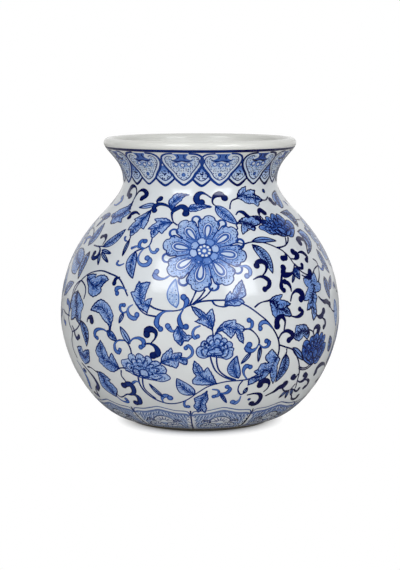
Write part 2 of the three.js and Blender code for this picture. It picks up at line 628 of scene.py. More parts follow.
# The sheets: name, slot, how unevenly the pigment pools, and layer
washes = Sheet("scroll_washes", "cobalt_mid", 0.55, 1)
stipple = Sheet("scroll_stipple", "cobalt_dark", 0.15, 2)
outlines = Sheet("scroll_outlines", "cobalt_dark", 0.1, 3)
stems = Sheet("scroll_stems", "cobalt_dark", 0.1, 3)
flower_washes = Sheet("flower_washes", "cobalt_mid", 0.45, 1)
flower_whites = Sheet("flower_reserves", "cobalt_pale", 0.1, 2)
flower_lines = Sheet("flower_outlines", "cobalt_dark", 0.12, 3)
flower_beads = Sheet("lotus_beads", "cobalt_pale", 0.05, 4)
collar_washes = Sheet("collar_washes", "cobalt_mid", 0.35, 1)
collar_whites = Sheet("collar_reserves", "cobalt_pale", 0.1, 2)
collar_lines = Sheet("collar_outlines", "cobalt_dark", 0.15, 3)
# The band's colours are greyed: partly its fine lines mixing, partly a painted reflection low on the vase
band_washes = Sheet("band_washes", "cobalt_pale", 0.35, 1, turns=(0,), dulled_and_sheen=0.35)
band_whites = Sheet("band_reserves", "cobalt_pale", 0.15, 2, turns=(0,), dulled_and_sheen=0.35)
band_lines = Sheet("band_outlines", "cobalt_dark", 0.3, 3, turns=(0,), dulled_and_sheen=0.35)
SHEETS = (washes, stipple, outlines, stems, flower_washes, flower_whites, flower_lines, flower_beads,
          collar_washes, collar_whites, collar_lines, band_washes, band_whites, band_lines)


# Motifs

def closed(edge):
    """An outline that comes back to its first point."""
    return np.concatenate([edge, edge[:1]])


def speckle(edge, tone, spacing, margin=0.8, bare=None):
    """Dark brush dots and pale flecks spread over a shape, but for a bare place in it."""
    for point in grid_in(np.asarray(edge), spacing, margin, jitter=0.35):
        if bare is not None and inside(bare, point[None])[0]:
            continue
        strength = min(INK, tone + 0.56) if hand.random() < 0.6 else max(WHITE, tone - 0.2)
        stipple.dot(point, hand.uniform(0.38, 0.62), strength, sides=6)


def vein(line, edge, strength):
    """A rough vein, pressed and lifted by turns, with dashes that leave it on both sides."""
    dash = strength - (0.1 if strength == INK else 0.24)
    line = smooth(line, step=2.8)
    outlines.stroke(line, [0.7, 1.5, 0.5, 1.4, 0.5, 1.3, 0.5, 1.0, 0.3], strength, curved=False)
    per_degree = degree_at(line[:, 1])
    way = np.gradient(line, axis=0)
    way[:, 0] *= per_degree
    headings = np.arctan2(way[:, 1], way[:, 0])
    reach = np.arange(0.9, 5.5, 0.6)
    for place, heading, degree in zip(line[1:-1], headings[1:-1], per_degree[1:-1]):
        for side in (-0.9, 0.9):
            turn = heading + side + hand.uniform(-0.2, 0.2)
            ray = np.stack([place[0] + reach * math.cos(turn) / degree,
                            place[1] + reach * math.sin(turn)], axis=1)
            steps = np.argmin(np.append(inside(edge, ray), False))
            if steps > 1:
                last = max(1, int(steps * hand.uniform(0.35, 0.95)))
                outlines.stroke([ray[0], ray[last]], [0.9, 0.4], dash, curved=False)


def middle_line(edge, root, tip):
    """The line midway between the two sides of an outline, from its root to its tip."""
    scale = (degree_at(edge[:, 1].mean()), 1)
    start, end = (np.hypot(*((edge - place) * scale).T).argmin() for place in (root, tip))
    ring = np.roll(edge, -start, axis=0)
    turn = (end - start) % len(edge)
    share = np.linspace(0, 1, 13)
    sides = []
    for side in (ring[:turn + 1], np.concatenate([ring[turn:], ring[:1]])[::-1]):
        steps = share * (len(side) - 1)
        numbers = np.arange(len(side))
        sides.append(np.stack([np.interp(steps, numbers, side[:, i]) for i in (0, 1)], axis=1))
    return (sides[0] + sides[1]) / 2


def stem(points):
    """A thin stem, a little thinner in its middle."""
    stems.stroke(points, [STEM_WIDTH, STEM_WIDTH * 0.8, STEM_WIDTH], STEM)


def curl(ball, core, points):
    """A scroll that swells from its stem to a round end."""
    end = ball * 1.75
    edge = max(STEM, core + 0.12)
    core = core + hand.uniform(-0.04, 0.06)
    widths = [CURL_START, CURL_START * 1.4, end * 0.9, end * 1.2, end]
    stems.stroke(points, widths, edge, core)
    stems.dot(points[-1], ball * 1.18, edge, core, sides=14)


def knob(place, radius):
    """A dark round knob where stems meet."""
    stems.dot(place, radius, INK, 0.75, sides=12)


def leaf_edge(base, tip, width, bend):
    """The outline and the rib of a plain leaf whose rib bends aside, to the left if positive."""
    base, tip = np.array(base, float), np.array(tip, float)
    per_degree = degree_at((base[1] + tip[1]) / 2)
    scale = np.array([per_degree, 1])
    way = (tip - base) * scale
    length = np.linalg.norm(way)
    left = np.array([-way[1], way[0]]) / length
    t = np.linspace(0, 1, 9)[:, None]
    rib = base * scale + way * t + left * bend * 4 * t * (1 - t)
    half = width / 2 * np.sin(math.pi * t**0.8) ** 0.85
    one, other = rib + left * half, rib - left * half
    ring = [(*base, 1)] + [tuple(p) for p in one[1:-1] / scale] + [(*tip, 1)]
    ring += [tuple(p) for p in other[-2:0:-1] / scale]
    return outline(ring), rib / scale


def toothed(edge):
    """An outline with small pointed teeth."""
    scale = np.array([degree_at(edge[:, 1].mean()), 1])
    around = closed(edge) * scale
    run = np.concatenate([[0], np.cumsum(np.hypot(*np.diff(around, axis=0).T))])
    run = run[:-1] * round(run[-1] / TOOTH_PITCH) / run[-1]
    way = (np.roll(edge, -1, axis=0) - np.roll(edge, 1, axis=0)) * scale
    way /= np.linalg.norm(way, axis=1)[:, None] + 1e-9
    outwards = np.stack([way[:, 1], -way[:, 0]], axis=1) * turning(list(map(tuple, edge)))
    push = TOOTH_DEPTH * (0.6 - np.abs(np.sin(math.pi * run)))
    return edge + outwards * push[:, None] / scale


def leaf_wash(tone):
    """The ground of a leaf, kept pale in the deep ones, where the brush work is dark."""
    return min(tone - 0.03, 0.3)


def leaf(base, tip, width, bend, tone):
    """A plain leaf: a wash, an outline, stipple and a vein, or only a rib in a narrow one."""
    edge, rib = leaf_edge(base, tip, width, bend)
    dark = min(INK, tone + 0.6) if tone > PALE else tone + 0.3
    washes.patch(edge, leaf_wash(tone), middle=0.05)
    outlines.stroke(closed(edge), LEAF_LINE, dark, curved=False)
    if width > 5:
        speckle(edge, tone, 2.3)
    if width > 5 and tone > PALE:
        vein(rib[:-1], edge, min(INK, dark + 0.06))
    elif tone > PALE:
        outlines.stroke(rib[:-1], [0.8, 1.1, 0.5], dark)


def cut_leaf(root, points, tone):
    """A leaf with a cut edge: a wash, a toothed outline, a vein to its farthest tip, and ribs."""
    edge = toothed(outline(points))
    dark = min(INK, tone + 0.6)
    washes.patch(edge, leaf_wash(tone), middle=0.05)
    outlines.stroke(closed(edge), LEAF_LINE, dark, curved=False)
    scale = (degree_at(root[1]), 1)
    tips = [np.array(p[:2]) for p in points if len(p) > 2 and p[2] > 0]
    tips.sort(key=lambda tip: np.hypot(*((tip - root) * scale)))
    rib = middle_line(edge, root, tips[-1])
    vein(rib[:-1], edge, min(INK, dark + 0.06))
    for tip in tips[:-1]:
        near = np.hypot(*((rib - tip) * scale).T).argmin()
        start = rib[max(near - 2, 0)]
        outlines.stroke([start, 0.3 * start + 0.7 * tip], [1.1, 0.4], dark - 0.06, curved=False)
    speckle(edge, tone, 2.3)


def petal_row(ends, heart, shares, dark, pale):
    """One petal of an inner row: an inked arch with a pale rim under it."""
    sides, crown = shares
    arch = [p + sides * (heart - p) for p in ends]
    arch[1:-1] = [p + crown * (heart - p) for p in ends[1:-1]]
    flower_lines.stroke([tuple(p) for p in arch], [0.5, 1.1, 0.5], dark)
    rim = [tuple(p + 0.14 * (heart - p)) for p in arch[1:-1]]
    if len(rim) > 1:
        flower_whites.stroke(rim, [0.5, 1.0, 0.5], pale)


def flower(lobes, caps, blobs, tone=PETAL):
    """A peony seen from the side: rows of scalloped petals round pale caps."""
    points = []
    for lobe in lobes:
        points += [(*lobe[0], 1)] + [tuple(p) for p in lobe[1:]]
    edge = outline(points)
    heart = np.mean([np.mean(cap, axis=0) for cap in caps], axis=0)
    dark, pale = min(INK, tone + 0.54), max(0.1, tone - 0.15)
    flower_washes.patch(edge, tone - 0.1, spacing=1.8, middle=0.2)
    flower_lines.stroke(closed(edge), [0.8, 1.1, 0.8, 1.0, 0.8], dark, curved=False)
    lobes = [[np.array(p) for p in lobe] for lobe in lobes]
    crowns = [lobe[len(lobe) // 2] for lobe in lobes]
    for k, lobe in enumerate(lobes):
        after = lobes[(k + 1) % len(lobes)]
        ends = lobe + [after[0]]
        side = [lobe[0] + share * (heart - lobe[0]) for share in (0, 0.22, 0.45)]
        flower_lines.stroke([tuple(p) for p in side], [1.2, 1.0, 0.5], dark)
        petal_row(ends, heart, (0.44, 0.27), dark, pale)
        between = [crowns[k], after[0], crowns[(k + 1) % len(lobes)]]
        petal_row(between, heart, (0.66, 0.5), dark, pale)
        flower_lines.dot(lobe[0], 0.75, min(INK, dark + 0.1))
    for cap in caps:
        shape = outline(cap)
        flower_whites.patch(shape, tone + 0.02, spacing=1.8, middle=-0.08)
        flower_lines.stroke(closed(shape), [1.1, 1.5, 1.1], dark, curved=False)
    for place in blobs:
        flower_lines.dot(place, 1.0)
    speckle(edge, tone + 0.06, 2.0)


# The scroll on the front, place by place

# Curls: radius of the round end, tone of the core, then the way to that end
CURLS = [
    # Above the lotus
    (2.6, INKY, [(-14.8, 199.5), (-16.5, 205), (-16.8, 210), (-14, 214), (-11.5, 215.3),
                 (-8.8, 213), (-8.5, 208.5)]),
    (2.0, INKY, [(-17, 211), (-20, 214.8), (-24, 216.8), (-28, 216.8), (-30.5, 214), (-29, 210.5)]),
    (2.0, INKY, [(-28.5, 217.5), (-29.8, 219.5), (-27.8, 222)]),
    (2.4, INKY, [(7.5, 223.5), (4, 226.5), (1, 227.5), (-1.5, 226), (-2.5, 223), (-1.5, 220),
                 (1, 219.5)]),
    (2.5, INKY, [(10.5, 215.5), (8.5, 218), (8.3, 221), (9.5, 224), (12, 226), (15, 226), (17, 223)]),
    (1.8, INKY, [(21.8, 207), (24, 209.8), (27, 208.8), (28.5, 205.5)]),
    (2.3, INKY, [(38.5, 201.5), (37.5, 205.5), (38.5, 209), (40.5, 210), (42, 207.5)]),
    (2.2, INKY, [(60.8, 216.5), (58.5, 215), (56.5, 215.5), (55.5, 218.8)]),
    (1.8, SOFT, [(106, 212.5), (110, 212.3), (113, 214), (114.4, 217.5), (112, 220.3)]),
    (1.8, SOFT, [(73.5, 216), (75, 214.5), (76.5, 213)]),
    # Left of the lotus
    (2.2, INKY, [(-50.8, 224), (-53, 229.3), (-57, 231), (-60.8, 229), (-61.5, 224.5), (-57.3, 222.3)]),
    (2.2, INKY, [(-51, 222), (-49.5, 226.5), (-46, 228.5), (-42.5, 227.5), (-40.5, 224.5),
                 (-43.3, 221.5)]),
    (1.9, INKY, [(-38.5, 206), (-42, 207.8), (-45, 206), (-45.2, 202.5)]),
    (1.5, SOFT, [(-24.5, 177.5), (-24, 175), (-22.5, 171.8), (-20.8, 171.5), (-20, 173.8)]),
    (1.9, SOFT, [(-26.5, 174.5), (-29, 175.5), (-30, 178.5), (-29, 181.5), (-27.4, 181)]),
    (1.2, SOFT, [(-29.5, 174.5), (-31, 176), (-33.2, 174.3)]),
    (2.0, SOFT, [(-27, 174), (-28.2, 170), (-28.3, 165), (-27, 161.5), (-25, 160.3), (-23, 161.5),
                 (-22.3, 164.5), (-24, 166.5)]),
    (1.0, SOFT, [(-35, 160.5), (-37, 158.8), (-38.8, 160), (-38.5, 162)]),
    (1.0, SOFT, [(-38, 180), (-39.5, 181), (-40, 183.5)]),
    (1.8, INKY, [(-53, 175), (-53, 180), (-55, 183), (-57.5, 181.5)]),
    (2.0, INKY, [(-56, 173), (-53.5, 171), (-52.5, 166), (-54, 162.5), (-56.5, 163), (-56.3, 166.5)]),
    (1.8, SOFT, [(-31, 139.5), (-33.5, 141.3), (-36, 140), (-35.3, 136.5)]),
    (1.9, INKY, [(-35.4, 149.3), (-37.3, 147.6), (-37.6, 144.3)]),
    # Under the lotus
    (2.0, SOFT, [(-12.8, 152.5), (-15, 150), (-17.5, 150.3), (-19.2, 152.5), (-18.5, 155.5)]),
    (2.0, SOFT, [(17, 160), (20, 159.8), (21.5, 157), (21.3, 153.5), (19.8, 152)]),
    (2.0, SOFT, [(-11, 125.2), (-13.4, 124.8), (-15.3, 122.8), (-16.7, 119), (-17, 114.5),
                 (-15.4, 111)]),
    (2.2, SOFT, [(-8, 125.8), (-6, 128.5), (-5.2, 133), (-6.5, 136)]),
    (2.1, SOFT + 0.1, [(-6.5, 126.5), (-7.8, 122), (-8, 118), (-7, 113.4), (-5.4, 113.2)]),
    (2.0, SOFT, [(-9, 110), (-11, 109.8), (-12.5, 113.5)]),
    (1.5, SOFT, [(-30, 123), (-31.5, 121.7), (-33, 124), (-33, 127.5), (-31.3, 127.8)]),
    (2.0, SOFT, [(-27.5, 128.5), (-29, 126.5), (-29.5, 123.5), (-28.5, 119.5), (-26, 118),
                 (-25.3, 121)]),
    (1.6, SOFT, [(0, 114), (-2, 112), (-2.8, 108), (-2, 104.5), (-0.9, 105.8)]),
    # Right of the lotus
    (2.3, INKY, [(26.8, 151.5), (28.8, 155), (29.8, 160), (28, 163.3), (25.5, 162.5), (25, 160)]),
    (2.0, INKY, [(22.5, 149), (25, 150.8), (27.5, 150.3), (29.5, 147), (29, 143), (27, 140.8)]),
    (2.2, INKY, [(41, 171), (42, 168.5), (41.5, 165), (39.5, 164.5)]),
    (2.4, INKY, [(45, 158), (43, 152.5), (40, 150.8), (37.5, 151.5), (38.2, 156.8)]),
    (1.8, INKY, [(37.5, 156), (36.3, 150.5), (35.5, 146), (35, 141), (36, 138.8)]),
    (2.4, INKY, [(38.7, 130), (40, 135), (42.5, 137.5), (45, 136), (46, 132), (44.5, 130.5)]),
    (1.8, INKY, [(38, 118.5), (41, 117), (43.5, 118), (44.8, 120.5), (43.3, 122.8)]),
    (2.5, INKY, [(34.8, 108), (35.3, 115), (33.5, 118.8), (31.5, 116), (31.5, 111.5)]),
    (2.5, INKY, [(58, 166.5), (61, 175), (60.5, 178), (58, 179.8), (55.5, 178.5), (56, 176)]),
    (2.6, INKY, [(44.5, 163.5), (47, 163), (49.3, 166), (47.5, 169)]),
    (2.4, INKY, [(48, 149), (50.3, 147), (53, 147.2), (54, 150.8)]),
    (2.0, INKY, [(39.8, 137.5), (39.7, 141), (38.8, 144), (37.2, 145.5)]),
    (1.9, INKY, [(49.5, 167), (52, 168), (54.5, 167), (56, 163.5), (54.5, 160.5)]),
    (1.7, INKY, [(45.5, 159), (47, 155.5), (49.5, 154.8), (50, 157.3)]),
    (2.4, INKY, [(53, 117.5), (55, 114.5), (57.5, 114.5), (59.3, 118)]),
    (1.8, INKY, [(58, 113), (60.3, 110), (60.5, 106.5), (59.3, 105)]),
    (1.7, SOFT, [(63, 154), (64.3, 151.3), (66, 150.7), (67.3, 152.4)]),
    (2.2, INKY, [(56.3, 130.3), (58, 127.5), (60.5, 125.2), (63, 124.8), (65.5, 121.8)]),
    # Round the sides, which the photo shows only edge on
    (2.2, SOFT, [(77, 183), (75, 181.5), (72.5, 183), (72.3, 186)]),
    (2.0, SOFT, [(73, 133), (75, 136.3), (77, 134)]),
    (2.2, SOFT, [(114, 179), (111, 179), (108, 178.5), (105.5, 176.5), (107, 174)]),
    (2.4, SOFT, [(113.5, 113), (113.7, 118), (112.8, 122), (110.8, 123.3)]),
    (2.0, SOFT, [(106, 110), (106.5, 107), (108.5, 105)]),
    # Lower left
    (1.6, SOFT, [(-38.5, 104.5), (-41, 107), (-44, 106.8), (-46, 104.5), (-46.3, 101), (-45, 99.5)]),
    (1.6, SOFT, [(-31.5, 100), (-34, 99.5), (-35.8, 96.5), (-35.8, 91.5), (-34.3, 89.5), (-33.5, 92)]),
    (1.8, SOFT, [(-28.5, 99), (-27, 102), (-24.5, 103), (-22.5, 101), (-22.5, 97.5), (-23.8, 95.8)]),
    (2.6, INKY, [(-22, 98.5), (-20, 99), (-18, 97.5), (-16.8, 94), (-17, 91), (-18.8, 89.5)]),
    (2.5, INKY, [(-19.2, 99.8), (-17.6, 103.5), (-17.2, 107.8), (-19, 110.4), (-21, 109.3),
                 (-21, 106.2)]),
    (2.3, INKY, [(-51, 111.3), (-50.5, 114), (-48.5, 115.3), (-48, 112.5)]),
    (1.8, INKY, [(-63, 105), (-61.5, 102), (-61, 98), (-59.5, 95.5), (-57.8, 97.5)]),
    (1.5, SOFT, [(-43.5, 47), (-42, 43.5), (-39.5, 41.8), (-37.5, 43), (-38, 45.5)]),
    (2.2, INKY, [(-61, 74), (-57.5, 68.5), (-54.8, 62), (-54.5, 55), (-57.5, 50.5)]),
    (2.0, SOFT, [(-66, 75), (-63.5, 69), (-62.5, 59), (-65.5, 50)]),
    (1.8, INKY, [(-59.5, 50), (-61.5, 42), (-64, 44)]),
    (2.5, INKY, [(-38.5, 48.5), (-36, 51), (-33.5, 51.5), (-31.5, 54), (-31, 58), (-32.2, 62),
                 (-35.8, 60)]),
    (2.4, INKY, [(-35, 51), (-31, 51), (-29.8, 47.5), (-30.5, 43), (-32.8, 42.5)]),
    (1.2, SOFT, [(-27, 64.5), (-28.5, 65.5), (-30.2, 63.8)]),
    (2.3, SOFT, [(-17.3, 45.5), (-17.8, 49), (-16.8, 52.5), (-15, 53), (-13.8, 51)]),
    # Lower middle
    (1.6, SOFT, [(-7, 88), (-5, 88), (-3.2, 91), (-3, 95), (-4.5, 98.5), (-5.5, 96.5)]),
    (1.6, SOFT, [(-6.5, 49), (-7.5, 45.5), (-7, 42), (-5.7, 42)]),
    (1.6, SOFT, [(5.5, 60.2), (8, 59), (8.2, 54.5), (6.2, 53)]),
    (1.8, SOFT, [(8, 58), (9.5, 56), (12, 56.5), (13.2, 60), (11.8, 62.3)]),
    (1.8, SOFT, [(18.5, 110.7), (20.3, 112), (20.5, 116), (19.3, 117.5)]),
    (2.3, SOFT, [(23.5, 98.5), (22.5, 95), (20.5, 93), (18.5, 95.5), (19.5, 98)]),
    (1.8, SOFT, [(23.7, 98), (25.5, 95.3), (27.5, 96), (28, 99), (26.8, 100.3)]),
    (1.8, SOFT, [(29.3, 110), (27, 114.5), (25, 115.3), (23.8, 113), (24, 110.5)]),
    (1.8, SOFT, [(20, 69), (18.5, 73), (18, 77), (19, 80.5), (20.8, 79.5)]),
    # Lower right
    (2.2, INKY, [(32.3, 101), (33.5, 105), (36, 107), (38.5, 105), (39.3, 102), (37.5, 99.3)]),
    (2.5, INKY, [(30, 55), (31.5, 58.5), (31.5, 63), (29.5, 65.8), (27, 64.8), (27, 62)]),
    (2.2, INKY, [(22, 53), (25, 54), (28, 53), (29.5, 49), (28.8, 43.5), (26.5, 41.8), (25.5, 43.5)]),
    (2.0, SOFT, [(18.8, 52), (18.5, 48), (17, 45.3), (15.5, 46.5)]),
    (2.2, INKY, [(51.5, 102), (52, 105.5), (54, 106.7), (55.8, 105), (55, 103)]),
    (2.5, INKY, [(47.3, 68), (46, 64.5), (44.5, 66)]),
    (2.2, INKY, [(48.5, 61.5), (51, 59.5), (53.5, 60.5), (54.3, 64), (52.5, 66)]),
    (1.9, INKY, [(54, 60.5), (57, 60), (59.5, 57), (59.8, 53.5), (58, 52)]),
    (2.6, INKY, [(32, 50.5), (36, 54), (38, 57.5), (40.5, 58.5), (41, 60.5)]),
    (1.6, INKY, [(49, 53), (51, 50.5), (53, 50), (53.3, 52)]),
    (1.8, INKY, [(50, 46), (52, 42), (55, 40.5), (57, 41.5), (56.8, 43.5)]),
    (2.5, INKY, [(76, 66), (70, 70.5), (65, 71.5), (62.2, 69), (62.6, 64.5)]),
    (2.0, INKY, [(80, 59), (77, 55), (72, 54)]),
]

# Stems: the way of each
STEMS = [
    [(4.8, 133), (6, 130), (9, 128.5), (11.5, 129.8)],
    [(-12.5, 197.3), (-14.8, 199.7)],
    [(-51, 224.5), (-51, 221), (-51, 217)],
    [(19, 213), (20, 217), (22, 220.5), (26, 222.3)],
    [(45.5, 219.7), (50, 219.3), (54, 221.7)],
    [(17.5, 180.5), (19.5, 180), (21, 178.8)],
    [(18, 174), (20.5, 176), (21, 178.5)],
    [(20, 197), (20.2, 193.5), (19.5, 192.5)],
    [(-24.2, 184), (-24.1, 180), (-24.5, 177.5)],
    [(-24.5, 177.3), (-26, 175), (-29, 173.2), (-31, 171.2)],
    [(-60, 173), (-56, 172.6), (-52, 173.5)],
    [(-65.5, 117), (-65, 124), (-63.3, 132), (-60, 141), (-55.5, 148), (-51, 151.5), (-46, 153),
     (-41, 151.5), (-36, 148.8), (-33, 143.5), (-30.2, 135.5)],
    [(-54.3, 129), (-53.8, 134), (-55, 139), (-59, 142.5), (-62.5, 139), (-64.3, 134), (-65, 127)],
    [(-1.5, 141), (-2.6, 136), (-4, 130)],
    [(2, 141.5), (0, 136), (-3, 130.5)],
    [(5, 143), (2.4, 137), (-2.5, 130.5)],
    [(-20, 128.8), (-17.5, 126.5), (-14, 125.2), (-10, 125.3), (-7.5, 126.5), (-5, 129),
     (0, 132.5), (4.5, 133.5), (9.5, 133.6)],
    [(-25.5, 128.5), (-24, 125), (-21.5, 121.8), (-17.5, 120.5)],
    [(16.5, 131), (20, 127), (24, 121), (27.5, 115), (30.5, 107), (32.3, 100), (33, 93), (32.8, 87.5)],
    [(21, 178.8), (25, 180.3), (30, 180), (34, 178), (38, 174.5), (41, 171), (43.5, 165.5),
     (44.8, 160), (47, 154), (50, 150), (52.5, 148.5)],
    [(38.5, 174.2), (42, 174.5), (45, 176), (47, 182)],
    [(40, 173.8), (44, 175), (47, 178), (49, 182)],
    [(22, 127.5), (24.5, 130.5), (28.5, 131.8)],
    [(56, 149.5), (59, 153), (62.5, 154.5)],
    [(60.5, 160.5), (62.5, 158), (62.5, 154), (61, 147.5), (58.5, 141.5)],
    [(65.5, 121), (68, 116.5), (71, 114.5)],
    [(-66.5, 118), (-67, 112), (-66, 106), (-63.5, 100), (-65.5, 92), (-66, 84), (-64.5, 78)],
    [(-63.5, 100), (-59, 103.5), (-56, 108.5)],
    [(75, 103), (74, 93), (77, 81), (78, 70), (77, 63)],
    [(68, 197), (75, 196)],
    [(113, 180), (109, 185), (104, 187), (100, 184)],
    [(114, 112.5), (109, 113.5), (105, 115.5)],
    [(-33.5, 100), (-31, 100.2), (-29.5, 98), (-28.5, 94), (-28.2, 90)],
    [(-36, 75.8), (-34, 76.6), (-32, 76.8)],
    [(-56.5, 72), (-54, 72), (-50, 68.5)],
    [(-34.8, 74), (-35.4, 69.5), (-34.5, 66), (-33.8, 63.5)],
    [(-43, 50), (-41, 47), (-38.5, 48.5)],
    [(-27, 69), (-26.8, 62), (-25, 55), (-21, 48.5), (-16, 45), (-11, 45.5), (-6, 49.5),
     (-1, 57), (3, 62.5), (7, 65.5), (12, 67.5), (18.5, 68), (24, 70), (27, 71)],
    [(-25, 68.5), (-25.4, 62), (-24.6, 57), (-21, 49.8)],
    [(4.7, 112), (4.9, 109), (5, 106)],
    [(4, 90), (4.8, 84), (6.5, 77), (10, 71.5), (14, 68.5)],
    [(6.5, 89.5), (6.8, 83), (8, 77), (11, 72), (15, 68.8)],
    [(17, 110.5), (19.5, 110.5), (21.8, 107), (23.5, 102), (23.6, 98)],
    [(36.8, 92), (37, 90), (36.8, 88)],
    [(33.2, 96), (36, 94), (40, 91), (43, 85), (45.5, 78), (47.5, 70), (48.5, 62), (49.8, 54)],
    [(46, 75), (49, 73), (52, 73), (54.5, 76)],
    [(46.4, 73.2), (49.5, 71.2), (53, 71.8), (56, 75)],
    [(18.3, 67.5), (17, 63), (17, 58), (18.5, 54), (20, 55)],
    [(48.5, 105.5), (51, 103.5), (52.2, 100)],
    [(40, 57), (41.5, 54), (43.5, 52.5), (46, 53), (48, 58)],
    [(-36.8, 184), (-36.6, 181.5)],
]

# Knobs where stems meet: azimuth, climb and radius
KNOBS = [(38, 199, 2.4), (36.8, 197.8, 2.0), (53.5, 149.5, 2.7), (23.5, 48.3, 1.5),
         (-61, 67.5, 2.4), (29, 204.8, 2.0), (52.2, 227.3, 2.0)]

# Plain leaves: base, tip, width, bend and tone
LEAVES = [
    ((-30.5, 216.5), (-41.8, 212.8), 4.5, 0, LEAF),
    ((10, 216), (20.8, 197.5), 10, 0, LEAF),
    ((-30.8, 171.3), (-28.9, 149.2), 9, -2.5, LEAF),
    ((-36.7, 181.5), (-37.1, 167), 3, 0, DEEP),
    ((-52, 173), (-42.5, 190.8), 8, -2, LEAF),
    ((-51.5, 170), (-44.5, 168), 3, 0, LEAF),
    ((-51, 168), (-44.2, 160.5), 3, 0, LEAF),
    ((-52, 167), (-50, 157.5), 3, 0, LEAF),
    ((-66, 172), (-64.5, 194), 11, -1, LEAF),
    ((-60.8, 167), (-62.3, 143.5), 9, -1, DEEP),
    ((115, 201), (104, 199.5), 7, 0, PALE + 0.04),
    ((111, 200), (107.5, 189), 4, 0, PALE + 0.04),
    ((104, 127), (114.5, 139.5), 8, 2, PALE + 0.05),
    ((-9.2, 128), (-10, 150), 9, 2.5, PALE),
    ((26, 181), (39.8, 180), 5, 1.5, DEEP),
    ((25.5, 178), (32, 152.8), 9, 3, DEEP),
    ((43.5, 151), (41.2, 144.3), 2.5, 0, DEEP),
    ((44.4, 156), (45.8, 146.3), 7, 0, LEAF),
    ((-31.5, 121.5), (-33.3, 113.5), 3, 0, LEAF),
    ((-39.3, 106.3), (-34.6, 99.2), 6, 0, LEAF),
    ((-28.5, 98), (-32.8, 110.8), 5, 0, LEAF),
    ((-55.5, 111), (-52.8, 90.8), 9, 3.5, DEEP),
    ((-17, 52), (-22.3, 64), 3, 0.5, LEAF),
    ((-2.3, 55.5), (-9.7, 70.3), 11, 2.5, LEAF),
    ((9.2, 55.5), (12.6, 45.8), 2.5, 0, LEAF),
    ((24.3, 96), (24, 83.5), 3, 0, LEAF),
    ((20.3, 91.5), (16.7, 82.8), 3, 0, LEAF),
    ((16.2, 70), (14.7, 89.5), 10, 3.5, LEAF),
    ((36.8, 88), (34.8, 63.5), 9, 2.5, DEEP),
    ((40, 92.5), (48, 80.3), 5, 0, DEEP),
    ((20, 55), (21, 60.5), 3, 0, DEEP),
    ((44, 53), (41, 46), 3, 0, LEAF),
    ((45, 53), (46, 44.5), 3, 0, LEAF),
    ((47, 54), (49.5, 46.5), 3, 0, LEAF),
    ((64.8, 144.5), (66.2, 126.5), 9, 0, DEEP),
    ((67.5, 134), (74, 143.5), 6, 0, LEAF),
    ((69, 167.5), (73.2, 146), 9, -1.5, LEAF),
    ((70.8, 82), (66.5, 95.8), 9, 0, LEAF),
    ((72.5, 124), (74, 102), 11, 0, PALE),
    ((62, 210), (70, 226), 12, 2, PETAL),
]

